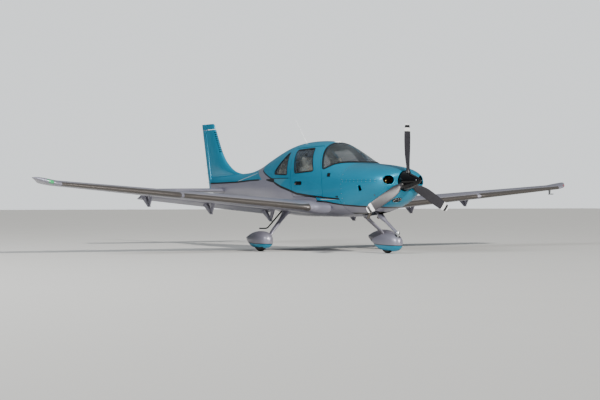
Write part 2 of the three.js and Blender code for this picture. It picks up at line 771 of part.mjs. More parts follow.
const elevatorHinge = (x) => {
  const [, lead, chord] = STABILISER[0];
  const [tipX, tipLead, tipChord] = STABILISER[1];
  const t = x / tipX;
  return lerp(lead + ELEVATOR.hinge * chord, tipLead + ELEVATOR.hinge * tipChord, t);
};

function elevatorCut(hand, gap) {
  const station = elevatorHinge(ELEVATOR.to);
  return box(
    [Math.min(hand * (ELEVATOR.from - gap), hand * 3000), station - gap, 0],
    [Math.max(hand * (ELEVATOR.from - gap), hand * 3000), 9000, 3000],
  );
}

// Both hinge lines lie on one straight line across the aircraft.
function stabiliserParts() {
  const body = stabiliserBody();
  const station = elevatorHinge(ELEVATOR.to);
  const [thick, thin] = ELEVATOR.nose;
  const middle = box([-ELEVATOR.from + RUNNING_GAP, station, 0], [ELEVATOR.from - RUNNING_GAP, 9000, 3000]);
  const parts = [];
  const cuts = SIDES.map((name) => {
    const hand = side(name);
    const start = [hand * (ELEVATOR.from - RUNNING_GAP), station, STABILISER_Z];
    const stop = [hand * 2100, station, STABILISER_Z];
    const nose = bar(start, stop, thick + RUNNING_GAP, thin + RUNNING_GAP, 20);
    return join(elevatorCut(hand, RUNNING_GAP), nose);
  });
  const reach = ELEVATOR.from - 0.4;
  const rod = bar([-reach, station, STABILISER_Z], [reach, station, STABILISER_Z], 8, 8, 12);
  const carrier = box([-40, station - 60, STABILISER_Z - 8], [40, station, STABILISER_Z + 8]);
  parts.push(["stabiliser", join(cut(body, cuts, middle), rod, carrier), SILVER]);
  SIDES.forEach((name) => {
    const hand = side(name);
    const nose = bar(
      [hand * ELEVATOR.from, station, STABILISER_Z],
      [hand * 2100, station, STABILISER_Z],
      thick,
      thin,
      20,
    );
    const panel = join(body.intersect(elevatorCut(hand, 0)), body.intersect(nose));
    parts.push([`elevator_${name}`, panel, SILVER]);
  });
  return parts;
}

// Propeller

function spinnerParts() {
  const { height, spinnerRadius: r } = PROPELLER;
  const back = SPINNER_BACK;
  const profile = [new THREE.Vector2(0, 0)];
  const steps = 7;
  for (let i = 1; i <= steps; i += 1) {
    const t = i / steps;
    const round = Math.sin((t * Math.PI) / 2) ** 0.85;
    profile.push(new THREE.Vector2(r * round, (0.75 * t + 0.25 * t * t) * back));
  }
  profile.push(new THREE.Vector2(0, back));
  const geometry = new THREE.LatheGeometry(profile, WHEEL_FACETS);
  geometry.translate(0, stationY(0), 0);
  geometry.translate(0, 0, height);
  const turns = Array.from({ length: PROPELLER.blades }, (_, i) => (i * 360) / PROPELLER.blades);
  const blades = turns.map((turn) => bladeBody(turn));
  const sockets = turns.map((turn) => bladeShank(turn, GAP, 300));
  const parts = [["spinner", cut(toSolid(geometry), sockets), BLACK]];
  blades.forEach((blade, i) => parts.push([`propeller_blade_${i + 1}`, blade, BLADE]));
  return parts;
}

const BLADE_SECTIONS = [
  // radius, chord, pitch, thickness, sweep; sweep moves the section back in its own plane
  [195, 96, 39, 66, 0],
  [280, 150, 32, 34, -12],
  [420, 170, 24, 21, -28],
  [600, 172, 17.5, 15, -34],
  [780, 164, 13.5, 11, -38],
  [900, 142, 11.5, 8.5, -40],
  [968, 108, 10.5, 6.5, -44],
  [990, 76, 10.5, 5, -48],
];

const bladePlace = (turn) =>
  new THREE.Matrix4()
    .makeTranslation(0, stationY(PROPELLER.station), PROPELLER.height)
    .multiply(new THREE.Matrix4().makeRotationY(degrees(turn)));

// The round root that each blade turns on in the hub.
function bladeShank(turn, grow = 0, end = 205) {
  const start = 85 - grow;
  const shank = new THREE.CylinderGeometry(42 + grow, 42 + grow, end - start, 14);
  shank.rotateX(Math.PI / 2);
  shank.translate(0, 0, (start + end) / 2);
  return toSolid(shank).transform(bladePlace(turn).toArray());
}

function bladeBody(turn) {
  const points = 12;
  const rings = BLADE_SECTIONS.map(([radius, chord, pitch, thick, sweep]) => {
    const [c, s] = [Math.cos(degrees(pitch)), Math.sin(degrees(pitch))];
    return Array.from({ length: points }, (_, i) => {
      const angle = (2 * Math.PI * i) / points;
      const along = (chord / 2) * Math.cos(angle) + sweep;
      const up = (thick / 2) * Math.sin(angle);
      return [along * c - up * s, along * s + up * c, radius];
    });
  });
  return join(loft(rings).transform(bladePlace(turn).toArray()), bladeShank(turn));
}

// Landing gear

function tyreBody({ radius, width, rimRadius }) {
  const profile = [];
  const shoulder = 7;
  for (let i = 0; i <= shoulder; i += 1) {
    const angle = Math.PI * (i / shoulder) - Math.PI / 2;
    const bulge = Math.abs(Math.cos(angle)) ** 0.62;
    profile.push(new THREE.Vector2(lerp(rimRadius, radius, bulge), (width / 2) * Math.sin(angle)));
  }
  profile.push(profile[0].clone());
  return new THREE.LatheGeometry(profile, WHEEL_FACETS);
}

function wheelParts(name, wheel) {
  const place = (geometry) => {
    geometry.rotateZ(-Math.PI / 2);
    geometry.translate(wheel.x, stationY(wheel.station), wheel.radius);
    return toSolid(geometry);
  };
  const tyre = place(tyreBody(wheel));
  const halfWidth = wheel.width * 0.42;
  const rim = [
    [18, -halfWidth * 0.7],
    [wheel.rimRadius * 0.7, -halfWidth * 0.5],
    [wheel.rimRadius - GAP, -halfWidth],
    [wheel.rimRadius - GAP, halfWidth],
    [wheel.rimRadius * 0.7, halfWidth * 0.5],
    [18, halfWidth * 0.7],
    [18, -halfWidth * 0.7],
  ].map(([r, w]) => new THREE.Vector2(r, w));
  const rimBody = place(new THREE.LatheGeometry(rim, WHEEL_FACETS));
  return [
    [`tyre_${name}`, tyre, RUBBER],
    [`rim_${name}`, rimBody, METAL],
  ];
}

// Streamlined wheel cover sections: share along, half width, top and bottom heights.
const PANT = [
  // along, half, top, bottom
  [0, 20, 222, 182],
  [14, 54, 264, 132],
  [60, 94, 314, 82],
  [160, 124, 354, 52],
  [330, 134, 368, 46],
  [500, 118, 353, 58],
  [680, 76, 308, 112],
  [850, 12, 254, 204],
];

function pantRing([along, half, top, bottom], origin, inset, scale) {
  const points = 14;
  const middle = (top + bottom) / 2;
  return Array.from({ length: points }, (_, i) => {
    const angle = (2 * Math.PI * (i + 0.5)) / points;
    const [c, s] = [Math.cos(angle), Math.sin(angle)];
    const x = Math.max(half * scale.wide - inset, 3) * Math.sign(c) * Math.abs(c) ** 0.86;
    const z = Math.max((top - bottom) / 2 - inset, 3) * Math.sign(s) * Math.abs(s) ** 0.86;
    return [origin.x + x, stationY(origin.station + along * scale.long), middle + z + origin.rise];
  });
}

function pantBody(origin, inset = 0, scale = { long: 1, wide: 1 }) {
  const rows = inset ? PANT.slice(1, -1) : PANT;
  return loft(rows.map((row) => pantRing(row, origin, inset, scale)));
}

const PANT_WALL = 5;
const MAIN_PANT_START = 2672;
const NOSE_PANT_START = 568;

function mainGearParts(name) {
  const hand = side(name);
  const wheel = { ...MAIN_WHEEL, x: hand * MAIN_WHEEL.x };
  const origin = { x: wheel.x, station: MAIN_PANT_START, rise: 4 };
  const bay = wheel.width / 2 + 14;
  const wheelBay = box([wheel.x - bay, wheel.station - 200, 0], [wheel.x + bay, wheel.station + 200, 150]);
  const inner = wheel.x - hand * 104;
  const hub = (reach) => [wheel.x + hand * reach, wheel.station, wheel.radius];
  const axle = bar(hub(-110), hub(132), 17.5).intersect(pantBody(origin, PANT_WALL + 0.4));
  const carrier = sidePlate(
    rounded([[2850, 280], [2940, 280], [3050, 210], [3050, 140], [2975, 140], [2850, 240]], 14),
    Math.min(inner, inner + hand * 18),
    Math.max(inner, inner + hand * 18),
  );
  const pant = cut(pantBody(origin), pantBody(origin, PANT_WALL), wheelBay, legBody(hand, 3));
  return [
    [`main_leg_${name}`, legBody(hand), SILVER],
    [`wheel_pant_${name}`, pant, SILVER],
    [`axle_${name}`, cut(join(axle, carrier), legBody(hand, GAP)), METAL],
    ...wheelParts(`main_${name}`, wheel),
  ];
}

// A tapered leg of streamlined section from the wing root out and down to the wheel.
function legBody(hand, grow = 0) {
  const rows = [
    // x, station, height, chord, thickness
    [770, 3030, 800, 170, 62],
    [920, 2990, 640, 150, 56],
    [1060, 2948, 500, 132, 50],
    [1180, 2910, 390, 122, 46],
    [1238, 2894, 326, 116, 42],
    [1276, 2890, 262, 108, 38],
  ];
  const points = 20;
  return loft(
    rows.map(([x, station, height, chord, thick]) =>
      Array.from({ length: points }, (_, i) => {
        const angle = (2 * Math.PI * i) / points;
        const aft = (chord / 2 + grow) * Math.cos(angle);
        const out = (thick / 2 + grow) * Math.sin(angle) * (1 - 0.35 * Math.cos(angle));
        return [hand * (x + out * 0.75), stationY(station + aft), height + out * 0.66];
      }),
    ),
  );
}

function noseGearParts() {
  const origin = { x: 0, station: NOSE_PANT_START, rise: -12 };
  const scale = { long: 1, wide: 0.95 };
  const wheel = NOSE_WHEEL;
  const wheelBay = box([-76, wheel.station - 190, 0], [76, wheel.station + 190, 150]);
  const pivot = (z) => [0, CASTER.station, z];
  const pivotHole = bar(pivot(200), pivot(500), 46, 46, 20);
  const pant = cut(pantBody(origin, 0, scale), pantBody(origin, PANT_WALL, scale), wheelBay, pivotHole);
  const ahead = box([-400, 0, 0], [400, FIREWALL - GAP, 2000]);
  const strut = join(
    bar([0, 1560, 905], [0, CASTER.station + 10, CASTER.top + 3], 31, 26, 20),
    bar(pivot(CASTER.top - 24), pivot(CASTER.top + 30), 34, 34, 20),
  ).intersect(ahead);
  const pin = bar(pivot(240), pivot(CASTER.top - 24 - GAP), 22, 22, 20);
  const crown = box([-42, CASTER.station - 24, 232], [42, CASTER.station + 30, 262]);
  const yoke = box([-70, CASTER.station + 24, 232], [70, CASTER.station + 74, 262]);
  const arms = [-1, 1].map((way) =>
    sidePlate(
      [
        [CASTER.station + 26, 256],
        [CASTER.station + 74, 256],
        [wheel.station + 26, wheel.radius + 20],
        [wheel.station + 26, wheel.radius - 24],
        [wheel.station - 20, wheel.radius - 24],
      ],
      Math.min(way * 66, way * 72),
      Math.max(way * 66, way * 72),
    ),
  );
  const axleBar = bar([-120, wheel.station, wheel.radius], [120, wheel.station, wheel.radius], 17.5);
  const axle = axleBar.intersect(pantBody(origin, PANT_WALL + 0.4, scale));
  return [
    ["nose_strut", strut, SILVER],
    ["nose_fork", join(pin, crown, yoke, arms, axle), METAL],
    ["wheel_pant_nose", pant, SILVER],
    ...wheelParts("nose", wheel),
  ];
}

// Engine, exhausts and what is inside the cabin

function powerParts() {
  const block = box([-370, 720, 1010], [370, 1430, 1310]);
  const shaft = bar([0, SPINNER_BACK + GAP, PROPELLER.height], [0, 730, PROPELLER.height], 55, 55, 20);
  const tubes = [-300, 300].flatMap((x) =>
    [1060, 1260].map((z) => bar([x, 1420, z], [x, FIREWALL - GAP, z], 12, 12, 10)),
  );
  const engine = join(block, shaft, tubes);
  const pipes = SIDES.map((name) => {
    const x = side(name) * 105;
    const pipe = bar([x, 1140, 1030], [x * 1.05, 1400, 612], 28, 28, 16);
    return [`exhaust_pipe_${name}`, cut(pipe, box([-400, 700, 1010 - GAP], [400, 1450, 1400])), METAL];
  });
  return [["engine_block", engine, CAST], ...pipes];
}

// A seat on its base: a cushion, a raked back and a headrest.
function seatBody(x, station, width) {
  const [from, to] = [x - width / 2, x + width / 2];
  const aft = (outline) => outline.map(([s, z]) => [station + s, z]);
  const cushion = box([from, station, 905], [to, station + 470, 1010]);
  const base = box([from + 60, station + 40, FLOOR_TOP + GAP], [to - 60, station + 420, 905]);
  const back = aft([[390, 960], [500, 940], [680, 1560], [590, 1590]]);
  const head = aft([[610, 1560], [690, 1545], [740, 1760], [665, 1775]]);
  return join(
    cushion,
    base,
    sidePlate(rounded(back, 40), from, to),
    sidePlate(rounded(head, 35), from + 90, to - 90),
  );
}

function insideParts() {
  const cabin = fuselageBody(INSIDE_STATIONS, SKIN + 0.5);
  const floor = box([-700, 1560, FLOOR_TOP - 28], [700, 4300, FLOOR_TOP]).intersect(cabin);
  const coaming = [[1700, 1500], [1960, 1540], [2010, 1525]];
  const face = [[1985, 1300], [1950, 1130], [1860, 1130], [1700, 1250]];
  const panel = sidePlate(rounded([...coaming, ...face], 25), -700, 700).intersect(cabin);
  const foot = FLOOR_TOP + GAP;
  const console = sidePlate(
    rounded([[1960, foot], [2600, foot], [2560, 1000], [2130, 1100], [1960, 1110]], 30),
    -76,
    76,
  );
  const bench = [-1, 1].map((way) => seatBody(way * 290, 3320, 520));
  const rear = join(bench, box([-60, 3340, 905], [60, 3780, 1000]));
  return [
    ["cabin_floor", floor, TRIM],
    ["instrument_panel", panel, TRIM],
    ["centre_console", console, TRIM],
    ...SIDES.map((name) => [`seat_front_${name}`, seatBody(side(name) * 308, 2400, 440), HIDE]),
    ["seat_rear", rear.intersect(cabin), HIDE],
  ];
}

// Small outside pieces

function outsideParts() {
  const whip = join(
    bar([0, 3596, 1990], [0, 3676, 2090], 12, 9, 10),
    bar([0, 3672, 2084], [0, 4019, 2500], 7, 3, 8),
  );
  const puck = bar([0, 2536, 1990], [0, 2536, 2036], 74, 62, 20);
  const roofSkin = fuselageBody(CABIN_STATIONS, -GAP);
  const step = join(
    bar([-300, 3990, 770], [-610, 4070, 408], 17, 15, 12),
    bar([-596, 4070, 400], [-790, 4078, 396], 15, 15, 12),
  );
  const pitotX = 5300;
  const { under, station } = wingPoint(pitotX, 0.25);
  const mast = [
    [station - 100, under + 14],
    [station - 40, under + 14],
    [station - 50, under - 84],
    [station - 92, under - 84],
  ];
  const tube = [-185, -45].map((along) => [pitotX, station + along, under - 78]);
  const pitot = join(sidePlate(mast, pitotX - 6, pitotX + 6), bar(...tube, 9, 12, 12));
  const leftWing = wingBody(1);
  return [
    ["whip_antenna", cut(whip, roofSkin), TRIM],
    ["roof_antenna", cut(puck, roofSkin), SILVER],
    ["entry_step", cut(step, roofSkin), BLACK],
    ["pitot_tube", cut(pitot, leftWing), METAL],
  ];
}

const aircraft = new THREE.Group();
const parts = [
  ...cowlParts(),
  ...cabinParts(),
  ...tailParts(),
  ...stabiliserParts(),
  ...SIDES.flatMap(wingParts),
  ...spinnerParts(),
  ...SIDES.flatMap(mainGearParts),
  ...noseGearParts(),
  ...powerParts(),
  ...insideParts(),
  ...outsideParts(),
];
for (const [name, solid, material] of parts) {
  const [largest] = solid.decompose().sort((a, b) => b.volume() - a.volume());
  const mesh = new THREE.Mesh(toGeometry(largest), material);
  mesh.name = name;
  aircraft.add(mesh);
}

export default aircraft;
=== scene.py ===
import math

import bpy
import numpy as np
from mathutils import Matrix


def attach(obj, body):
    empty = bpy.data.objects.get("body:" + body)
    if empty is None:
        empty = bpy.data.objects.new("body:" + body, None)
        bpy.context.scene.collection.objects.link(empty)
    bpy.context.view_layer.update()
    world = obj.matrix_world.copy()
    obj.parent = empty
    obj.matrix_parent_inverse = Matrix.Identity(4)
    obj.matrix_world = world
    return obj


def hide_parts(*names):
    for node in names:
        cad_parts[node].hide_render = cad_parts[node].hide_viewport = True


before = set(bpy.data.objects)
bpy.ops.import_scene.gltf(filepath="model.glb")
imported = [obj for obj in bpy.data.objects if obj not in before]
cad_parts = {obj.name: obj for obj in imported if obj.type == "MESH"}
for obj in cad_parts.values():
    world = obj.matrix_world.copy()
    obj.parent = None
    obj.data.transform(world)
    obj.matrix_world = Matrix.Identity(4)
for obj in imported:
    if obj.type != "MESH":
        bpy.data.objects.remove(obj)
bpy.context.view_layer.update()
scene = bpy.context.scene

# Sizes are in millimetres: x across with the left wing positive, station aft of the spinner's tip, and
# height. meshFrom turns them into metres about the row's origin. Materials work in metres.
halfLength = 3960.0
sides = {"left": 1.0, "right": -1.0}

# Camera and lights
camera = {"place": (-14.123, -22.795, 0.884), "yaw": 31.883, "pitch": 0.126, "lens": 82.81, "sensor": 36.0}
cameraData = bpy.data.cameras.new("photoCamera")
cameraData.lens = camera["lens"]
cameraData.sensor_width = camera["sensor"]
cameraData.clip_end = 400.0
cameraObject = bpy.data.objects.new("photoCamera", cameraData)
cameraObject.location = camera["place"]
cameraObject.rotation_euler = (math.radians(90 + camera["pitch"]), 0.0, math.radians(-camera["yaw"]))
scene.collection.objects.link(cameraObject)
scene.camera = cameraObject

lamps = {
    # name: kind, place, looks at, size (degrees for the sun, metres for a disk), strength, colour
    "keySun": ("SUN", (1.5, -21.0, 12.0), (0.0, 0.0, 0.0), 5.0, 5.4, (1.0, 0.97, 0.92)),
    "sideDisk": ("AREA", (-22.0, -6.0, 12.0), (0.0, 0.0, 1.0), 9.0, 5600.0, (0.96, 0.98, 1.0)),
}
for lampName, (kind, spot, target, across, strength, colour) in lamps.items():
    data = bpy.data.lights.new(lampName, kind)
    data.energy = strength
    data.color = colour
    if kind == "SUN":
        data.angle = math.radians(across)
    else:
        data.shape = "DISK"
        data.size = across
    lamp = bpy.data.objects.new(lampName, data)
    lamp.location = spot
    away = np.subtract(spot, target)
    lean = math.atan2(math.hypot(away[0], away[1]), away[2])
    lamp.rotation_euler = (lean, 0.0, math.atan2(away[1], away[0]) + math.pi / 2)
    scene.collection.objects.link(lamp)
print("camera and lamps made")


# Materials
def linear(text):
    # an sRGB hex colour as linear RGBA
    parts = np.array([int(text[i : i + 2], 16) for i in (1, 3, 5)]) / 255.0
    value = np.where(parts <= 0.04045, parts / 12.92, ((parts + 0.055) / 1.055) ** 2.4)
    return (*value.tolist(), 1.0)


def addNode(tree, kind, inputs=None, output=0, **settings):
    # adds one node with its settings; an input is a number, a hex colour, or an output that is linked
    node = tree.nodes.new("ShaderNode" + kind)
    for key, value in settings.items():
        setattr(node, key, value)
    for key, value in (inputs or {}).items():
        if isinstance(value, Output):
            tree.links.new(value.socket, node.inputs[key])
        else:
            node.inputs[key].default_value = linear(value) if isinstance(value, str) else value
    return Output(tree, node.outputs[output])


class Output:
    # a node's output; sums, differences, products and maxima (the | sign) of outputs become Math nodes
    def __init__(self, tree, socket):
        self.tree = tree
        self.socket = socket

    def __add__(self, other):
        return addNode(self.tree, "Math", {0: self, 1: other}, operation="ADD")

    def __sub__(self, other):
        return addNode(self.tree, "Math", {0: self, 1: other}, operation="SUBTRACT")

    def __rsub__(self, other):
        return addNode(self.tree, "Math", {0: other, 1: self}, operation="SUBTRACT")

    def __mul__(self, other):
        return addNode(self.tree, "Math", {0: self, 1: other}, operation="MULTIPLY")

    def __or__(self, other):
        return addNode(self.tree, "Math", {0: self, 1: other}, operation="MAXIMUM")

    def __abs__(self):
        return addNode(self.tree, "Math", {0: self}, operation="ABSOLUTE")


def above(value, limit, soft=0.002):
    # how far a value is over a limit, divided by soft and held to 0..1: an edge 2 mm soft
    return addNode(value.tree, "Math", {0: value - limit, 1: soft}, operation="DIVIDE", use_clamp=True)


def below(value, limit, soft=0.002):
    # one less the share above the limit
    return 1.0 - above(value, limit, soft)


def within(value, centre, half, soft=0.002):
    # above zero where the distance from the centre is less than half
    return above(half - abs(value - centre), 0.0, soft)


def layered(colour, *layers):
    # lays each further colour over what is under it, by its share
    for share, over in layers:
        colour = addNode(share.tree, "Mix", {0: share, 6: colour, 7: over}, 2, data_type="RGBA")
    return colour


def startMaterial(name, values):
    # a material with one Principled shader, and its tree and object coordinates
    material = bpy.data.materials.new(name)
    material.use_nodes = True
    tree = material.node_tree
    for socket, value in values.items():
        tree.nodes["Principled BSDF"].inputs[socket].default_value = value
    return material, tree, addNode(tree, "TexCoord", output="Object")


def endMaterial(material, colour, height=None, depth=0.0, strength=1.0):
    # links the colour, and a bump whose full height is depth metres
    tree = material.node_tree
    inputs = tree.nodes["Principled BSDF"].inputs
    tree.links.new(colour.socket, inputs["Base Color"])
    if height:
        bump = addNode(tree, "Bump", {"Height": height, "Distance": depth, "Strength": strength})
        tree.links.new(bump.socket, inputs["Normal"])
    return material


def plainMaterial(name, light, dark, values, scale, depth=0.0002, spread=0.5):
    # two close colours mixed by a noise of real size, which also roughens and dents the surface
    material, tree, coords = startMaterial(name, values)
    grain = addNode(tree, "TexNoise", {"Vector": coords, "Scale": scale, "Detail": 3.0})
    share = addNode(tree, "Math", {0: grain, 1: spread}, operation="MULTIPLY", use_clamp=True)
    rough = values["Roughness"]
    reach = {"Value": grain, "To Min": rough * 0.85, "To Max": min(rough * 1.2, 1.0)}
    mapped = addNode(tree, "MapRange", reach)
    tree.links.new(mapped.socket, tree.nodes["Principled BSDF"].inputs["Roughness"])
    return endMaterial(material, layered(light, (share, dark)), grain, depth)


# Metallic enamel over glass-fibre composite, sprayed and flow-coated: deep colour under clear gloss
paint = {
    "teal": "#008cae",
    "tealDeep": "#007796",
    "silver": "#8f8d9a",
    "silverDeep": "#7d7b88",
    "black": "#050608",
    "pale": "#3c8ca3",
    "white": "#d2d5d8",
    # the strip's dark brown is partly the porous panel and partly painted reflection of the dark ground
    "strip": "#4d4845",
    "stripLight": "#a9a6a8",
    "values": {"Metallic": 0.5, "Roughness": 0.42, "Coat Weight": 0.3, "Coat Roughness": 0.06},
    "cloud": 1.3,  # broad differences, about 0.8 m across
    "peel": 55.0,  # spray texture, drawn at 18 mm so that it shows
    "peelDepth": 0.0001,
    "peelStrength": 0.35,
}

# Where the paint's borders run along the fuselage: [station, height]
borders = {
    "cabinFloor": [
        [400, 800], [700, 816], [1118, 834], [1564, 862], [1781, 885], [2004, 916], [2313, 934],
        [2330, 1000], [2516, 1018], [2982, 1063], [3283, 1132], [3649, 1206], [3948, 1288], [3960, 1357],
        [4071, 1363], [4266, 1407], [4512, 1473], [4675, 1526], [4780, 1600], [4900, 1900], [8000, 1900],
    ],
    "edge": [
        [400, 700], [1580, 700], [1593, 956], [1982, 975], [2516, 1018], [2982, 1063], [3283, 1132],
        [3649, 1206], [3948, 1288], [4395, 1341], [4405, 700], [8000, 700],
    ],
    "tailFloor": [
        [400, 1345], [4700, 1345], [4840, 1342], [5355, 1338], [6025, 1315], [6871, 1307], [8000, 1307],
    ],
    # a pale line along the tail's spine: partly a pinstripe, partly painted highlight
    "spineLineAndHighlight": [[400, 1483], [5027, 1483], [5579, 1403], [6000, 1329], [6100, 1300], [8000, 1300]],
}
borderSpan = {"from": 400.0, "to": 8000.0, "low": 600.0, "high": 2000.0}


def borderHeight(station, points):
    # a border's height above a station, both in metres: straight lines between its points
    start, low = borderSpan["from"], borderSpan["low"]
    span, rise = borderSpan["to"] - start, borderSpan["high"] - low
    share = above(station, start / 1000, span / 1000)
    line = addNode(station.tree, "FloatCurve", {"Value": share})
    mapping = line.socket.node.mapping
    curve = mapping.curves[0]
    places = [((s - start) / span, (z - low) / rise) for s, z in points]
    curve.points[0].location = places[0]
    curve.points[1].location = places[-1]
    for spot in places[1:-1]:
        curve.points.new(*spot)
    for point in curve.points:
        point.handle_type = "VECTOR"
    mapping.update()
    return line * (rise / 1000) + low / 1000


def enamelBase(name):
    # silver and teal that each vary a little with a broad noise, and a fine noise for the spray texture
    material, tree, coords = startMaterial(name, paint["values"])
    cloud, peel = (addNode(tree, "TexNoise", {"Vector": coords, "Scale": paint[key]})
                   for key in ("cloud", "peel"))
    silver = layered(paint["silver"], (cloud, paint["silverDeep"]))
    teal = layered(paint["teal"], (cloud, paint["tealDeep"]))
    x, y, z = (addNode(tree, "SeparateXYZ", {0: coords}, axis) for axis in "XYZ")
    finish = lambda colour: endMaterial(material, colour, peel, paint["peelDepth"], paint["peelStrength"])
    return x, y, z, silver, teal, finish


def fuselageEnamel():
    # silver below and teal above a curved border, then bands and lines laid over them in turn
    _, y, z, silver, teal, finish = enamelBase("fuselageEnamel")
    station = y + halfLength / 1000
    cabinFloor, edge, tailFloor, spineLineAndHighlight = (borderHeight(station, points) for points in borders.values())
    behindTail = above(station, (z - 1.366) * 2.3 + 4.699, 0.004)
    rise = z - cabinFloor
    fin = station - ((z - 1.98) * 0.584 + 7.005)
    ribs = addNode(z.tree, "Math", {0: z * 150.0}, operation="SINE")
    wedgeTop = edge + (4.43 - station) * 0.14
    pale = above(station, (1.349 - z) * 2.0 + 3.33, 0.12) * below(station, 3.962)
    black = within(z, edge, 0.016)
    for line in (
        # under the teal of the cabin, the wedge behind the cabin, over the pale band
        above(rise, -0.028) * below(rise, 0.0) * below(station, 4.72),
        above(z, edge) * below(z, wedgeTop) * above(station, 3.95) * below(station, 4.4),
        within(z, 1.353, 0.008) * within(station, 3.63, 0.33, 0.02),
        # under the teal of the tail, ahead of the wing, up the fin's leading edge
        within(z, tailFloor, 0.017) * above(station, 4.74, 0.1),
        above(z, edge) * below(z, 0.942) * above(station, 1.995, 0.02) * below(station, 2.32),
        above(ribs, 0.0, 0.3) * within(fin, 0.0, 0.07) * within(z, 2.19, 0.22),
    ):
        black = black | line
    return finish(layered(
        silver,
        (above(z, cabinFloor) | above(z, tailFloor) * behindTail, teal),
        (pale * below(z, 1.349) * above(z, edge), paint["pale"]),
        (within(z, 0.951, 0.006) * within(station, 1.915, 0.285, 0.03), paint["white"]),
        # the pale spine line, partly a pinstripe and partly painted highlight
        (within(z, spineLineAndHighlight, 0.006) * within(station, 5.52, 0.5, 0.05), paint["white"]),
        (black, paint["black"]),
    ))


def wingEnamel():
    # silver, with a darker strip along the leading edge, partly the porous metal panel and partly painted
    # reflection of the dark ground, and a pale line behind it
    x, y, _, silver, _, finish = enamelBase("wingEnamel")
    across = abs(x)
    aft = y - (across * 0.0377 + (2.31 - halfLength / 1000))
    onStrip = above(across, 0.74) * below(across, 5.45)
    # the leading-edge strip: partly porous panel, partly painted reflection of the ground
    strip = below(aft, 0.05) * onStrip * above(abs(across - 3.27), 0.03)
    line = within(aft, 0.052, 0.006) * onStrip
    return finish(layered(silver, (strip, paint["strip"]), (line, paint["stripLight"])))


def rudderEnamel():
    # teal all over, with a silver line at the horn's foot
    _, _, z, _, teal, finish = enamelBase("tealEnamel")
    return finish(layered(teal, (within(z, 2.462, 0.006), paint["silver"])))


def pantEnamel(name, border):
    # silver wheel covers with teal below a border that falls towards the nose, and a dark line along it
    _, y, z, silver, teal, finish = enamelBase(name)
    line = y * 0.02 + border
    return finish(layered(silver, (below(z, line), teal), (within(z, line, 0.007), paint["black"])))


def bladePaint():
    # satin dark grey over composite; by distance from the shaft it turns white, black and white at the tip
    material, tree, coords = startMaterial("satinBladePaint", {"Roughness": 0.42})
    x, z = (addNode(tree, "SeparateXYZ", {0: coords}, axis) for axis in "XZ")
    up = z - 1.262
    radius = addNode(tree, "Math", {0: x * x + up * up}, operation="SQRT")
    grain = addNode(tree, "TexNoise", {"Vector": coords, "Scale": 24.0, "Detail": 4.0})
    bands = (above(radius, 0.86), "#dedfe0"), (within(radius, 0.944, 0.024), "#17171a")
    return endMaterial(material, layered("#2c2a31", (grain, "#1f1e23"), *bands), grain, 0.0002, 0.5)


def tyreRubber():
    # vulcanised rubber: dark, paler with dust in a coarse noise, and pitted by a fine one
    material, tree, coords = startMaterial("vulcanisedRubber", {"Roughness": 0.85})
    dust = addNode(tree, "TexNoise", {"Vector": coords, "Scale": 30.0, "Detail": 5.0})
    pits = addNode(tree, "TexNoise", {"Vector": coords, "Scale": 260.0})
    return endMaterial(material, layered("#1c1c1d", (dust, "#2e2c2a")), pits, 0.0004, 0.6)


def acrylic():
    # cast acrylic: clear, with a blue-grey colour that is painted reflection of a blue sky and painted shade
    # of the cabin behind it, and the softest haze from a broad noise
    values = {"Transmission Weight": 1.0, "Roughness": 0.02, "IOR": 1.49, "Alpha": 0.5}
    material, tree, coords = startMaterial("castAcrylic", values)
    haze = addNode(tree, "TexNoise", {"Vector": coords, "Scale": 3.0})
    return endMaterial(material, layered("#5a7390", (haze, "#4c6480")))


def leather():
    # grained upholstery leather: creases between cells about 5 mm across, darker where a noise says worn
    material, tree, coords = startMaterial("creamLeather", {"Roughness": 0.55, "Sheen Weight": 0.15})
    creases = addNode(tree, "TexVoronoi", {"Vector": coords, "Scale": 190.0}, "Distance")
    wear = addNode(tree, "TexNoise", {"Vector": coords, "Scale": 7.0, "Detail": 3.0})
    return endMaterial(material, layered("#e9dcc0", (wear, "#cbb791")), creases, 0.0006, 0.6)


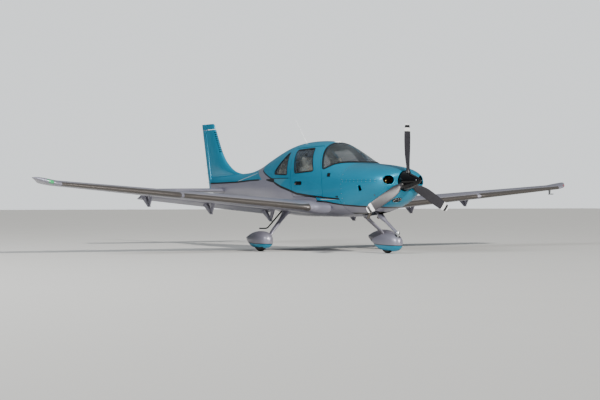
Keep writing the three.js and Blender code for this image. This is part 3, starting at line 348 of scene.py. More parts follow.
plainFinishes = {
    # slot, then finish: material's name, two colours, shader values, grains a metre, bump's depth in metres
    "dark_trim": {
        "glossBlack": ("blackEnamel", "#020203", "#050508", {"Roughness": 0.1, "Specular IOR Level": 0.35},
                       8.0, 0.00005),
        "satinBlack": ("mouldedBlackPlastic", "#050506", "#0b0c0e", {"Roughness": 0.45}, 60.0),
        "darkTrim": ("texturedTrimPlastic", "#23262c", "#15171b", {"Roughness": 0.75}, 120.0, 0.0005),
        "navyTrim": ("navyMouldedTrim", "#131a2a", "#0c111d", {"Roughness": 0.7}, 120.0, 0.0004),
        "carpet": ("tuftedCarpet", "#2a2c31", "#191a1d", {"Roughness": 0.98}, 220.0, 0.003),
        # the headliner's dark grey is painted shade under the cabin's roof
        "headliner": ("feltHeadliner", "#5d616b", "#484c55", {"Roughness": 0.95}, 150.0, 0.0008),
        "floorPaint": ("palePaintedFloor", "#c6c5c2", "#bab8b4", {"Roughness": 0.75}, 0.6, 0.0005, 0.4),
        # the lamp's dish, really a mirror, drawn dark olive: painted shade
        "dishPaintedShade": ("lampDishPaintedShade", "#2b2e26", "#1c1e18", {"Metallic": 0.4, "Roughness": 0.5}, 40.0),
        "screenGlass": ("displayGlass", "#0d1a2b", "#16304a", {"Roughness": 0.08, "Coat Weight": 1.0}, 6.0),
    },
    "bare_steel": {
        "steel": ("brushedSteel", "#b2b4b6", "#8c8e91", {"Metallic": 1.0, "Roughness": 0.33}, 40.0),
        "aluminium": ("machinedAluminium", "#cdced0", "#a9abad", {"Metallic": 1.0, "Roughness": 0.28}, 45.0),
        "casting": ("castAluminiumAlloy", "#6d6e70", "#47484b", {"Metallic": 0.8, "Roughness": 0.6},
                    30.0, 0.001),
        "exhaustSteel": ("heatStainedSteel", "#8d8780", "#5b5049", {"Metallic": 1.0, "Roughness": 0.45}, 18.0),
    },
    "engine_casting": {
        "bronze": ("heatStainedFins", "#a98a5d", "#5f4a35", {"Metallic": 0.7, "Roughness": 0.45}, 35.0, 0.001),
        "brass": ("brassPlatedTube", "#d8b878", "#a98748", {"Metallic": 0.9, "Roughness": 0.35}, 30.0),
    },
    "antenna_plastic": {
        "whitePlastic": ("mouldedWhitePlastic", "#e9eaea", "#d6d8d9", {"Roughness": 0.3}, 40.0),
    },
    "window_acrylic": {
        "glowLens": ("clearLens", "#eef3f6", "#d5dde2", {"Roughness": 0.08, "Coat Weight": 1.0}, 50.0),
        "redLens": ("redLens", "#b3131a", "#7d0c12", {"Roughness": 0.1, "Coat Weight": 1.0}, 50.0),
        "greenLens": ("greenLens", "#12a35b", "#0a6f3e", {"Roughness": 0.1, "Coat Weight": 1.0}, 50.0),
    },
    "airframe_paint": {
        "gripPaint": ("gritWalkwayPaint", "#6d6b72", "#4f4d54", {"Roughness": 0.95}, 260.0, 0.0012),
    },
}
finishes = {
    # finish: material, and the slot it is usually in
    "bodyPaint": (fuselageEnamel(), "airframe_paint"),
    "wingPaint": (wingEnamel(), "airframe_paint"),
    "rudderPaint": (rudderEnamel(), "airframe_paint"),
    "mainPantPaint": (pantEnamel("mainPantEnamel", 0.165), "airframe_paint"),
    "nosePantPaint": (pantEnamel("nosePantEnamel", 0.21), "airframe_paint"),
    "bladeCoat": (bladePaint(), "blade_composite"),
    "rubber": (tyreRubber(), "tyre_rubber"),
    "clearAcrylic": (acrylic(), "window_acrylic"),
    "creamLeather": (leather(), "seat_leather"),
}
for slot, group in plainFinishes.items():
    for finish, facts in group.items():
        finishes[finish] = (plainMaterial(*facts), slot)
print("materials made")


# Mesh helpers
def toMetres(points):
    return (np.asarray(points, float) - [0.0, halfLength, 0.0]) / 1000.0


def place(x, station, height):
    return np.stack(np.broadcast_arrays(x, station, height), -1).astype(float)


def unit(vectors):
    return vectors / np.linalg.norm(vectors, axis=-1, keepdims=True)


def angles(count):
    return np.linspace(0, 2 * np.pi, count, endpoint=False)


def addObject(name, mesh):
    piece = bpy.data.objects.new(name, mesh)
    scene.collection.objects.link(piece)
    return piece


def copyOf(piece, name):
    return addObject(name, piece.data.copy())


def meshFrom(name, points, faces):
    # a mesh from points and groups of equal-sided faces, turned round if its signed volume is negative
    points = toMetres(points)
    mesh = bpy.data.meshes.new(name)
    mesh.from_pydata(points.tolist(), [], [face for group in faces for face in group.tolist()])
    mesh.update()
    fans = np.concatenate([group[:, [0, k, k + 1]] for group in faces for k in range(1, group.shape[1] - 1)])
    a, b, c = points[fans.T]
    if np.einsum("ij,ij->i", a, np.cross(b, c)).sum() < 0:
        mesh.flip_normals()
    return addObject(name, mesh)


def pointsOf(piece):
    flat = np.empty(len(piece.data.vertices) * 3)
    piece.data.vertices.foreach_get("co", flat)
    return flat.reshape(-1, 3)


def setPoints(piece, points):
    piece.data.vertices.foreach_set("co", points.ravel())
    piece.data.update()


def ringQuads(rows, count, closed=False):
    # the quads between neighbouring rings of count points, and between the last and first if closed
    a = (np.arange(rows - 1 + closed) * count)[:, None]
    b = (np.arange(1, rows + closed) % rows * count)[:, None]
    j = np.arange(count)[None, :]
    k = (j + 1) % count
    return np.stack([a + j, a + k, b + k, b + j], -1).reshape(-1, 4)


def loftFaces(rows, count):
    # the quads of a loft, and a fan at each end about the two points that follow its rings
    a = np.arange(count)
    b = (a + 1) % count
    end = (rows - 1) * count
    first = np.stack([b, a, np.full(count, rows * count)], -1)
    last = np.stack([end + a, end + b, np.full(count, rows * count + 1)], -1)
    return [ringQuads(rows, count), first, last]


def loft(name, rings, tips=None):
    # a closed skin over rings (rows, count, 3); each end closes on its tip, or on its own middle
    tips = [rings[0].mean(0), rings[-1].mean(0)] if tips is None else tips
    return meshFrom(name, np.concatenate([rings.reshape(-1, 3), tips]), loftFaces(*rings.shape[:2]))


def prism(name, outline, low, high, plan=False):
    # a side-view outline carried across between two x, or a plan outline carried up between two heights
    a, b = np.asarray(outline, float).T
    rings = np.concatenate([place(a, b, end) if plan else place(end, a, b) for end in (low, high)])
    caps = [np.arange(len(a))[None, ::-1], (np.arange(len(a)) + len(a))[None, :]]
    return meshFrom(name, rings, [ringQuads(2, len(a)), *caps])


def block(name, low, high):
    # a plain box between two corners
    (x0, s0, z0), (x1, s1, z1) = low, high
    return prism(name, [[s0, z0], [s1, z0], [s1, z1], [s0, z1]], x0, x1)


def tube(name, path, radii, count=24, squash=(1.0, 1.0), helper=None):
    # a round section square to a path; with a helper, a direction it never takes, the path closes on itself
    path = np.asarray(path, float)
    closed = helper is not None
    along = unit(np.roll(path, -1, 0) - np.roll(path, 1, 0) if closed else np.gradient(path, axis=0))
    if not closed:
        helper = [0.0, 0.0, 1.0] if abs(along[0][2]) < 0.9 else [1.0, 0.0, 0.0]
    first = unit(np.cross(along, helper))
    second = np.cross(along, first)
    angle = angles(count)[None, :, None]
    ring = np.cos(angle) * first[:, None] * squash[0] + np.sin(angle) * second[:, None] * squash[1]
    points = path[:, None] + ring * np.broadcast_to(radii, len(path))[:, None, None]
    if closed:
        return meshFrom(name, points.reshape(-1, 3), [ringQuads(len(path), count, True)])
    return loft(name, points)


def turned(profile, centre, axis, count):
    # a profile of radius and distance along an axis (x, s for station or z), turned round a centre
    radius, along = np.asarray(profile, float).T[:, :, None]
    first, second = radius * np.cos(angles(count)), radius * np.sin(angles(count))
    x, station, height = centre
    return place(*{
        "x": (x + along, station + first, height + second),
        "s": (x + first, station + along, height + second),
        "z": (x + first, station + second, height + along),
    }[axis])


def lathe(name, profile, centre, axis="x", count=72):
    # a ring turned from a profile that closes on itself
    rings = turned(profile, centre, axis, count).swapaxes(0, 1)
    return meshFrom(name, rings.reshape(-1, 3), [ringQuads(*rings.shape[:2], True)])


def capLathe(name, profile, centre, axis, count=64):
    # a solid turned from a profile that starts and ends on the axis
    rings = turned(profile, centre, axis, count)
    return loft(name, rings[1:-1], rings[[0, -1], 0])


def carve(body, tools, how="DIFFERENCE"):
    # cuts, joins or intersects a closed body with closed tools, which are then removed
    tools = tools if isinstance(tools, (list, tuple)) else [tools]
    for tool in tools:
        step = body.modifiers.new("carve", "BOOLEAN")
        step.operation = how
        step.solver = "MANIFOLD"
        step.object = tool
    bpy.context.view_layer.update()
    mesh = bpy.data.meshes.new_from_object(body.evaluated_get(bpy.context.evaluated_depsgraph_get()))
    body.modifiers.clear()
    body.data = mesh
    for tool in tools:
        bpy.data.objects.remove(tool)
    return body


def dress(piece, finish, body="airframe", nodes=(), angle=32.0):
    # smooths a piece up to an edge angle; gives it its finish and body, and hides the CAD nodes it stands for
    material, usualSlot = finishes[finish]
    mesh = piece.data
    mesh.name = piece.name
    mesh.polygons.foreach_set("use_smooth", np.ones(len(mesh.polygons), bool))
    mesh.set_sharp_from_angle(angle=math.radians(angle))
    mesh.materials.clear()
    mesh.materials.append(material)
    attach(piece, body)
    if nodes:
        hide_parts(*nodes)
    return piece


def rounded(outline, reach, steps=7):
    # turns each corner of an outline into a parabola that starts and ends at most reach from it
    corners = np.asarray(outline, float)
    t = np.linspace(0, 1, steps)[:, None]
    parts = []
    for before, corner, after in zip(np.roll(corners, 1, 0), corners, np.roll(corners, -1, 0)):
        ends = []
        for other in (before, after):
            away = other - corner
            length = np.linalg.norm(away)
            ends.append(corner + away / length * min(reach, 0.45 * length))
        parts.append((1 - t) ** 2 * ends[0] + 2 * t * (1 - t) * corner + t**2 * ends[1])
    return np.concatenate(parts)


def grown(outline, by):
    # moves an outline's corners out along their bisectors
    points = np.asarray(outline, float)
    before, after = np.roll(points, 1, 0), np.roll(points, -1, 0)
    turning = (points[:, 0] * after[:, 1] - after[:, 0] * points[:, 1]).sum()
    a, b = unit(points - before), unit(after - points)
    out = np.stack([a[:, 1] + b[:, 1], -a[:, 0] - b[:, 0]], -1)
    size = np.linalg.norm(out, axis=1)
    return points + out * (np.sign(turning) * by / np.maximum(0.35, size / 2) / size)[:, None]


def tableAt(table, at):
    # reads every column of a table along a smooth curve through its rows (cubic Hermite)
    rows = np.asarray(table, float)
    at = np.atleast_1d(np.asarray(at, float))
    last = len(rows) - 1
    index = np.clip(np.searchsorted(rows[:, 0], at, side="left") - 1, 0, last - 1)
    low = np.maximum(np.arange(last + 1) - 1, 0)
    high = np.minimum(np.arange(last + 1) + 1, last)
    slope = (rows[high] - rows[low]) / (rows[high, :1] - rows[low, :1])
    a, b = rows[index], rows[index + 1]
    span = b[:, :1] - a[:, :1]
    t = np.clip((at[:, None] - a[:, :1]) / span, 0, 1)
    m0, m1 = slope[index] * span, slope[index + 1] * span
    shareA, shareB = 2 * t**3 - 3 * t**2 + 1, 3 * t**2 - 2 * t**3
    return shareA * a + (t**3 - 2 * t**2 + t) * m0 + shareB * b + (t**3 - t**2) * m1


# Fuselage skin
fuselage = {
    "sections": [
        # station, top, bottom, half, widest, upper power, lower power
        [415, 1390, 1120, 318, 1262, 2.3, 2.3],
        [430, 1418, 1080, 362, 1260, 2.3, 2.3],
        [470, 1450, 1010, 412, 1257, 2.3, 2.2],
        [560, 1488, 915, 466, 1250, 2.35, 2.1],
        [700, 1520, 832, 510, 1240, 2.4, 2.1],
        [950, 1556, 752, 552, 1225, 2.4, 2.15],
        [1250, 1584, 694, 584, 1205, 2.4, 2.3],
        [1550, 1606, 658, 606, 1188, 2.4, 2.5],
        [1650, 1645, 648, 611, 1180, 2.35, 2.6],
        [1850, 1746, 638, 619, 1172, 2.25, 2.7],
        [2100, 1878, 632, 626, 1165, 2.15, 2.8],
        [2350, 1980, 630, 630, 1160, 2.15, 2.9],
        [2600, 2028, 630, 631, 1158, 2.2, 2.9],
        [2900, 2050, 630, 628, 1158, 2.2, 2.9],
        [3300, 2046, 632, 614, 1160, 2.2, 2.8],
        [3700, 2008, 640, 580, 1165, 2.15, 2.7],
        [4100, 1926, 668, 520, 1175, 2.1, 2.5],
        [4640, 1766, 742, 418, 1200, 2.1, 2.3],
        [5100, 1618, 826, 326, 1225, 2.1, 2.2],
        [5600, 1518, 912, 244, 1245, 2.1, 2.1],
        [6200, 1486, 990, 168, 1255, 2.1, 2.1],
        [6800, 1462, 1048, 112, 1265, 2.1, 2.1],
        [7430, 1440, 1100, 58, 1275, 2.1, 2.1],
    ],
    "points": 112,  # round one section
    "cowlSplit": 1276,
    "wall": 26,
    "thinWall": 12,
    "lining": 25.0,  # how deep under the skin the headliner starts
    "gap": 0.3,
}
noseStart, firewall, cabinEnd, tailEnd = 415, 1550, 4640, 7430
gap = fuselage["gap"]


def skinRings(stations, inset=0.0):
    # superellipse sections: half widths and heights to powers that square them, less an inset
    _, top, bottom, half, widest, upper, lower = tableAt(fuselage["sections"], stations).T[:, :, None]
    angle = 2 * np.pi * (np.arange(fuselage["points"]) + 0.5) / fuselage["points"]
    c, s = np.cos(angle), np.sin(angle)
    power = 2 / np.where(s > 0, upper, lower)
    height = np.where(s > 0, top - widest, widest - bottom) - inset
    x = (half - inset) * np.sign(c) * np.abs(c) ** power
    return place(x, stations[:, None], widest + height * np.sign(s) * np.abs(s) ** power)


def skinTube(name, start, stop, inset=0.0, step=38.0):
    count = max(3, int((stop - start) / step) + 1)
    return loft(name, skinRings(np.linspace(start, stop, count), inset))


def skinShell(name, start, stop, outer, inner, ahead=0, behind=0):
    # the skin between two insets; the inner tool may start further ahead and end further behind
    return carve(skinTube(name, start, stop, outer), skinTube("inner", start - ahead, stop + behind, inner))


def sidePrism(name, shape, side, far=900):
    # a prism through one side's wall, or through both
    low, high = {"left": (0, far), "right": (-far, 0), "both": (-far, far)}[side]
    return prism(name, shape, low, high)


def skinPatch(name, shape, side, outer, inner, margin=40):
    # a piece of skin between two insets, within a side-view outline on one side or on both
    start = max(np.min(shape, axis=0)[0] - margin, noseStart)
    stop = min(np.max(shape, axis=0)[0] + margin, tailEnd)
    return carve(skinShell(name, start, stop, outer, inner), sidePrism("edge", shape, side), "INTERSECT")


def sectionSide(station, height):
    # half width, height of the widest line, and the reach and power on a height's side of that line
    _, top, bottom, half, widest, upper, lower = tableAt(fuselage["sections"], station).T
    over = height > widest
    return half, widest, np.where(over, top - widest, widest - bottom), np.where(over, upper, lower)


def halfWidthAt(station, height):
    half, widest, reach, power = sectionSide(station, height)
    share = np.minimum(np.abs(height - widest) / reach, 1)
    return half * (1 - share**power) ** (1 / power)


def heightBelow(x, station):
    # the height of the fuselage's underside at a distance across and a station
    _, _, bottom, half, widest, _, lower = tableAt(fuselage["sections"], station).T
    return (widest - (widest - bottom) * (1 - (abs(x) / half) ** lower) ** (1 / lower))[0]


def slope(measure, a, b):
    # how fast a measure of two coordinates changes with each, over two millimetres either way
    return (measure(a + 2, b) - measure(a - 2, b)) / 4, (measure(a, b + 2) - measure(a, b - 2)) / 4


def lineInside(piece):
    # gives the headliner to the faces that lie deeper than the lining
    mesh = piece.data
    centres = np.empty(len(mesh.polygons) * 3)
    mesh.polygons.foreach_get("center", centres)
    x, y, z = (centres.reshape(-1, 3) * 1000).T
    half, widest, reach, power = sectionSide(np.clip(y + halfLength, noseStart, tailEnd), z)
    depth = fuselage["lining"]
    level = np.abs(x / (half - depth)) ** power + np.abs((z - widest) / (reach - depth)) ** power
    mesh.materials.append(finishes["headliner"][0])
    mesh.polygons.foreach_set("material_index", (level < 1).astype(np.int32))


def meetSkin(start, direction, reach=400.0):
    # where lines from points outside first enter the fuselage's nose, along one direction
    points = start[:, None] + np.arange(0.0, reach, 0.5)[None, :, None] * direction
    x, station, height = points.reshape(-1, 3).T
    width = halfWidthAt(np.clip(station, noseStart, tailEnd), height)
    inside = ((np.abs(x) < width) & (station > noseStart - 3)).reshape(points.shape[:2])
    return points[np.arange(len(start)), np.argmax(inside, axis=1)]


def bead(name, path, radius, helper):
    # a painted round lip along a closed path
    dress(tube(name, path, radius, 12, helper=helper), "bodyPaint", angle=60)


def studs(name, spots, radius, proud, count=14, sunk=3.0):
    # small round heads that stand on the fuselage's side at [hand, station, height]
    hand, station, height = np.asarray(spots, float).T
    along, up = slope(halfWidthAt, station, height)
    normal = unit(place(hand, -along, -up))
    first = unit(np.cross(normal, [0.0, 1.0, 0.0]))
    second = np.cross(normal, first)
    centre = place(hand * halfWidthAt(station, height), station, height)
    angle = angles(count)[None, :, None]
    ring = radius * (np.cos(angle) * first[:, None] + np.sin(angle) * second[:, None])
    layers = [(1.0, -sunk), (1.0, proud * 0.6), (0.75, proud)]
    rings = [centre[:, None] + ring * size + normal[:, None] * lift for size, lift in layers]
    tips = [(centre + normal * lift)[:, None] for lift in (-sunk, proud)]
    heads = np.concatenate(rings + tips, axis=1)
    starts = np.arange(len(spots))[:, None, None] * heads.shape[1]
    faces = [(group + starts).reshape(-1, group.shape[1]) for group in loftFaces(3, count)]
    return meshFrom(name, heads.reshape(-1, 3), faces)


edges = {
    # opening: outline, how far its corners are rounded
    "windshield": ([[1440, 1626], [1600, 1616], [1740, 1614], [1900, 1588], [2020, 1540], [2170, 1490],
                    [2420, 1900], [2520, 2200], [1440, 2200]], 60),
    "door": ([[2085, 1010], [3130, 1000], [3240, 1440], [3440, 1915], [2500, 1935], [2232, 1492],
              [2165, 1400]], 60),
    "doorWindow": ([[2450, 1470], [3095, 1440], [3310, 1880], [2725, 1905]], 55),
    "rearWindow": ([[3385, 1415], [3960, 1440], [3985, 1490], [3800, 1660], [3620, 1830], [3560, 1850]], 55),
    "baggage": ([[3480, 1010], [3980, 1040], [3980, 1360], [3480, 1360]], 45),
}
outline = {key: rounded(*facts) for key, facts in edges.items()}
doorGap = 8

wing = {
    "half": 5840.0,
    "chord": (1590.0, 715.0),  # on the centre plane and at the tip
    "lead": (2310.0, 2530.0),
    "thickness": (0.155, 0.125),
    "centreHeight": 738.0,
    "rise": math.tan(math.radians(4.8)),
    "camber": 0.02,
    "crest": 0.4,
    "trailingEdge": 1.5,
    "tip": [
        # out, chord kept, lead, lift, thickness kept
        [5480, 1, 0, 0, 1],
        [5600, 0.957, 6, 16, 1],
        [5716, 0.56, 122, 46, 1.35],
        [5790, 0.31, 206, 66, 1.5],
        [5840, 0.08, 292, 76, 1.6],
    ],
    "rootSwell": [
        # x, nose out, tail out, thicker
        [560, 420, 240, 1.25],
        [610, 290, 130, 1.16],
        [655, 160, 60, 1.08],
        [700, 64, 0, 1.02],
    ],
    "rootNose": [[700, 64], [760, 24], [860, 0]],
    "cuff": {"x": 3270.0, "step": 20, "nose": 30, "fadeTo": 5400, "fade": 900},
}


def aerofoil(share, thickness, camber):
    # heights of the upper and lower sides as shares of the chord: the usual four-digit thickness
    # curve either side of a camber line made of two parabolas that meet at the crest
    half = 0.2969 * np.sqrt(share) - 0.126 * share - 0.3516 * share**2
    half = 5 * thickness * (half + 0.2843 * share**3 - 0.1036 * share**4)
    crest = wing["crest"]
    fore = camber / crest**2 * (2 * crest * share - share**2)
    aft = camber / (1 - crest) ** 2 * (1 - 2 * crest + 2 * crest * share - share**2)
    line = np.where(share < crest, fore, aft)
    return line + half, line - half


def sectionRing(chord, thickness, camber=0.0, count=22):
    # a section's points as distances aft and up, from the trailing edge over the top and back
    share = 0.5 + 0.5 * np.cos(np.pi * np.arange(2 * count + 1) / count)
    upper, lower = aerofoil(share, thickness, camber)
    top = np.arange(2 * count + 1) <= count
    rim = wing["trailingEdge"] * share * np.where(top, 1, -1)
    return share * chord, np.where(top, upper, lower) * chord + rim


def wingRows(x):
    # the straight wing at distances out: x, leading edge, chord, height, thickness over chord
    t = np.minimum(x / wing["half"], 1.0)
    lead, chord, thickness = (a + (b - a) * t for a, b in (wing["lead"], wing["chord"], wing["thickness"]))
    return np.array([x, lead, chord, wing["centreHeight"] + wing["rise"] * x, thickness])


def stretched(rows, nose, tail=0.0, thicker=1.0):
    # adds chord ahead and behind, and changes the thickness in millimetres by a factor
    x, lead, chord, height, thickness = rows
    longer = chord + nose + tail
    return np.array([x, lead - nose, longer, height, thickness * thicker * chord / longer])


def wingRings(rows, hand):
    x, lead, chord, height, thickness = rows[:, :, None]
    aft, up = sectionRing(chord, thickness, wing["camber"], 30)
    return place(hand * x, lead + aft, height + up)


def wingSolid(name, hand):
    # the whole wing: straight sections, a small step forward of the nose, and a swept-up tip
    x, nose = tableAt(wing["rootNose"], np.linspace(700.3, 860, 7)).T
    root = wingRows(x) + np.array([0 * nose, -nose, nose, 0 * nose, 0 * nose])
    cuff = wing["cuff"]
    inner = wingRows(np.append(np.arange(1000.0, cuff["x"] - cuff["step"], 250), cuff["x"] - cuff["step"]))
    x = np.append(cuff["x"] + cuff["step"], np.arange(3500.0, cuff["fadeTo"], 250))
    outer = stretched(wingRows(x), np.clip((cuff["fadeTo"] - x) / cuff["fade"], 0, 1) * cuff["nose"])
    tipPlaces = np.concatenate([np.linspace(5480, 5760, 12), np.linspace(5775, 5840, 7)])
    x, kept, aft, lift, thicker = tableAt(wing["tip"], tipPlaces).T
    x, lead, chord, height, thickness = wingRows(x)
    tip = [x, lead + aft, chord * kept, height + lift, thickness * thicker]
    return loft(name, wingRings(np.concatenate([root, inner, outer, tip], axis=1), hand))


def wingRootSolid(name):
    # the swelling that carries the wings through the cabin's floor
    x, *swelling = tableAt(wing["rootSwell"], np.linspace(560, 700, 15)).T
    rows = stretched(wingRows(x), *swelling)
    return loft(name, np.concatenate([wingRings(rows, -1.0)[::-1], wingRings(rows, 1.0)]))


# Cowl: a thin shell with two inlets, a recess for the spinner and an outlet below
shaftHeight = 1262.0
inlet = {"x": 350.0, "station": 431.0, "height": 1282.0, "width": 206.0, "tall": 162.0}
splay = math.radians(24.0)  # how far the inlets' axes turn outwards
recess = {"centre": (0, 400, shaftHeight), "radius": 176.0, "depth": 60.0, "shaft": 95.0}
backwards = np.array([0.0, 1.0, 0.0])


def inletPoints(hand, along, grow=0.0):
    # an oval round the inlet's axis, which runs forwards and outwards from the engine
    c, s = math.cos(splay), math.sin(splay)
    across = (inlet["width"] / 2 + grow) * np.cos(angles(56))
    up = (inlet["tall"] / 2 + grow) * np.sin(angles(56))
    station = inlet["station"] + along * c + hand * across * s
    return place(hand * (inlet["x"] - along * s) + across * c, station, inlet["height"] + up)


noseRings = skinRings(noseStart + (firewall - gap - noseStart) * np.linspace(0, 1, 60) ** 1.7)
middle = noseRings[0].mean(0)
dome = [middle + (noseRings[0] - middle) * scale - backwards * ahead
        for scale, ahead in ((0.62, 6.0), (0.8, 5.5), (0.92, 4.0), (0.975, 2.0))]
cowlOuter = loft("cowlOuter", np.concatenate([dome, noseRings]))
cowlInner = loft("cowlInner", skinRings(np.linspace(noseStart + 30, firewall + 10, 32), fuselage["thinWall"]))
outlet = prism("outlet", rounded([[960, 560], [1600, 560], [1600, 756], [1060, 756]], 40), -170, 170)
shaftHole, spinnerRecess = (
    capLathe(name, [[0, low], [radius, low], [radius, high], [0, high]], recess["centre"], "s", count)
    for name, radius, low, high, count in (("shaftHole", recess["shaft"], -30, 130, 64),
                                           ("spinnerRecess", recess["radius"], -60, recess["depth"], 96)))
sideSlot = {"hole": [[966, 1104], [1040, 1092], [1058, 1189], [992, 1196]],
            "lip": [[1040, 1084], [1062, 1084], [1082, 1196], [1054, 1196]]}
slotHole = skinPatch("slotHole", rounded(sideSlot["hole"], 12), "both", -20, 30)

# landing light let into the chin: an oval dish with a lamp, under a clear lens; the dish is drawn dark olive,
# painted shade
light = {"x": -90.0, "station": 547.0, "half": 68.0, "wide": 1.35}
lightSpot = np.array([light["x"], light["station"], heightBelow(light["x"], light["station"])])
outFrom = unit(np.array([*slope(heightBelow, light["x"], light["station"]), -1.0]))


def lightTube(name, low, high, radii):
    # an oval tube along the skin's normal at the landing light, from low to high above the skin
    path = lightSpot + np.linspace(low, high, len(radii))[:, None] * outFrom
    return tube(name, path, radii, 48, (light["wide"], 1.0))


half = light["half"]
dish = lightTube("landingLightDish", -52.0, -6.0, [half - 3, half - 3])
# the dish's dark olive is painted shade
dress(carve(dish, lightTube("bowl", -47.0, 2.0, [20, 44, 55, 61, 64, 64.5])), "dishPaintedShade")
dress(lightTube("landingLightLamp", -46.5, -22.0, [13, 13, 12, 7]), "steel")
lens = skinShell("landingLightLens", 430, 700, 1.5, 5.0, 10, 10)
dress(carve(lens, lightTube("lensEdge", -90.0, 40.0, [half - 1, half - 1]), "INTERSECT"), "clearAcrylic")
level = unit(np.cross(outFrom, [0.0, 0.0, 1.0]))
rising = np.cross(level, outFrom)
around = angles(64)[:, None]
circle = (half + 3) * (light["wide"] * np.cos(around) * level + np.sin(around) * rising)
lip = meetSkin(lightSpot + 150 * outFrom + circle, -outFrom)
bead("landingLightLip", lip - 3.0 * outFrom, 5.5, outFrom)
inletTools = [loft("inletTool", np.stack([inletPoints(hand, along) for along in (-160.0, 150.0)]))
              for hand in sides.values()]
lightHole = lightTube("lightHole", -90.0, 60.0, [half, half])
carve(cowlOuter, [cowlInner, lightHole, *inletTools, outlet, shaftHole, spinnerRecess, slotHole])
dress(skinPatch("slotLips", rounded(sideSlot["lip"], 9), "both", -8, 4), "bodyPaint")
for name, hand in sides.items():
    axis = np.array([-hand * math.sin(splay), math.cos(splay), 0.0])
    mouth = meetSkin(inletPoints(hand, -150.0, 3.0), axis)
    bead("inletLip" + name.capitalize(), mouth + axis * 3.0, 8.5, axis)
reach = recess["radius"] + 3
circle = place(reach * np.cos(angles(96)), 300, shaftHeight + reach * np.sin(angles(96)))
bead("spinnerRecessLip", meetSkin(circle, backwards) + 3.0 * backwards, 5.0, backwards)
split = fuselage["cowlSplit"]
for name, low, high, node in (("cowlTopSkin", split + 1.2, 2400, "cowl_upper"),
                              ("cowlLowerSkin", 200, split - 1.2, "cowl_lower")):
    slab = block("slab", (-900, 100, low), (900, firewall - 6, high))
    dress(carve(copyOf(cowlOuter, name), slab, "INTERSECT"), "bodyPaint", nodes=[node])
bpy.data.objects.remove(cowlOuter)
dress(skinShell("cowlSeamStrip", firewall - 16, firewall + 10, 1.6, 6.0, 14, 10), "bodyPaint")

# what shows through the inlets: finned cylinders, a brass-coloured intake pipe, and black plates behind them
# that are partly the baffles and partly painted shade inside the cowl
fin = ((54, -4), (68, 0), (68, 4), (54, 8))
fins = [[radius, low + along] for low in range(170, 350, 15) for radius, along in fin]
barrel = np.array([[0, 160], [52, 160], *fins, [52, 356], [0, 356]])
for name, hand in sides.items():
    label = name.capitalize()
    dress(capLathe("cylinderFins" + label, barrel * [1, hand], (0.0, 665.0, 1268.0), "x", 40), "bronze")
    bend = np.linspace(0, np.pi * 0.9, 16)
    pipe = place(hand * (300 + 14 * np.sin(bend)), 596 - 24 * np.sin(bend), shaftHeight + 46 * np.cos(bend))
    dress(tube("intakePipe" + label, pipe, 13.0, 16), "brass")
    low, high = sorted([hand * 180, hand * 470])
    # black plates: partly the engine's baffles, partly painted shade inside the cowl
    baffleAndShade = block("baffleAndPaintedShade" + label, (low, 760, 1180), (high, 766, 1380))
    dress(baffleAndShade, "satinBlack")

# fasteners along the cowl's joints, and small screws ahead of the doors
heads, screws, ports = [], [], []
for hand in sides.values():
    heads += [[hand, s, split + 16] for s in range(640, 1500, 106)]
    heads += [[hand, s, split - 16] for s in range(640, 1500, 106)]
    heads += [[hand, firewall - 24, z] for z in range(800, 1520, 84)]
    screws += [[hand, s, z] for s, z in ((1623, 1460), (1606, 1424), (1648, 1392), (1610, 1120))]
    ports += [[hand, s, z] for s, z in ((3262, 1344), (3262, 1259), (2096, 1330))]
dress(studs("cowlFasteners", heads, 6.0, 1.2), "steel")
dress(studs("panelScrews", screws, 5.0, 1.0), "satinBlack")
patches = {
    # piece: outline, how far its corners are rounded, outer inset, inner inset, side, finish
    "cowlLatches": ([[704, 1008], [726, 1006], [728, 1032], [707, 1034]], 6, -2.5, 3, "both", "casting"),
    "sideVentFrames": ([[1889, 1356], [1987, 1356], [1987, 1425], [1900, 1425]], 14, -3, 3, "both",
                       "satinBlack"),
    "drainScoops": ([[1640, 984], [1700, 988], [1700, 1008], [1640, 1012]], 8, -6, 3, "both", "satinBlack"),
    "baggageLatch": ([[3900, 1190], [3944, 1190], [3944, 1226], [3900, 1226]], 10, -2.5, 4, "left", "steel"),
}
for name, (shape, corner, outer, inner, side, finish) in patches.items():
    piece = skinPatch(name, rounded(shape, corner), side, outer, inner)
    dress(piece, finish, "baggage_door" if name == "baggageLatch" else "airframe")
print("cowl made")

# Cabin shell with its openings
cabinOuter = skinTube("cabinOuter", firewall, cabinEnd)
carve(cabinOuter, wingRootSolid("wingRoot"), "UNION")
carve(cabinOuter, skinTube("cabinHollow", firewall + 30, cabinEnd - 30, fuselage["wall"]))
legTable = [
    # height (negated to rise), x, station, chord, thickness
    [-800, 770, 3030, 170, 62],
    [-640, 920, 2990, 150, 56],
    [-500, 1060, 2948, 132, 50],
    [-390, 1180, 2910, 122, 46],
    [-326, 1238, 2894, 116, 42],
    [-262, 1276, 2890, 108, 38],
]


def teardrops(hand, x, station, height, chord, thick, grow=0.0):
    # sections of a leg: ellipses made fuller at their front, leaning out and down
    angle = angles(40)
    out = (thick / 2 + grow) * np.sin(angle) * (1 - 0.35 * np.cos(angle))
    return place(hand * (x + out * 0.75), station + (chord / 2 + grow) * np.cos(angle), height + out * 0.66)


def legRings(hand, grow=0.0):
    height, x, station, chord, thick = tableAt(legTable, np.linspace(-800, -262, 26)).T[:, :, None]
    return teardrops(hand, x, station, -height, chord, thick, grow)


def legHole(hand):
    return loft("legHole", legRings(hand, 3.0))


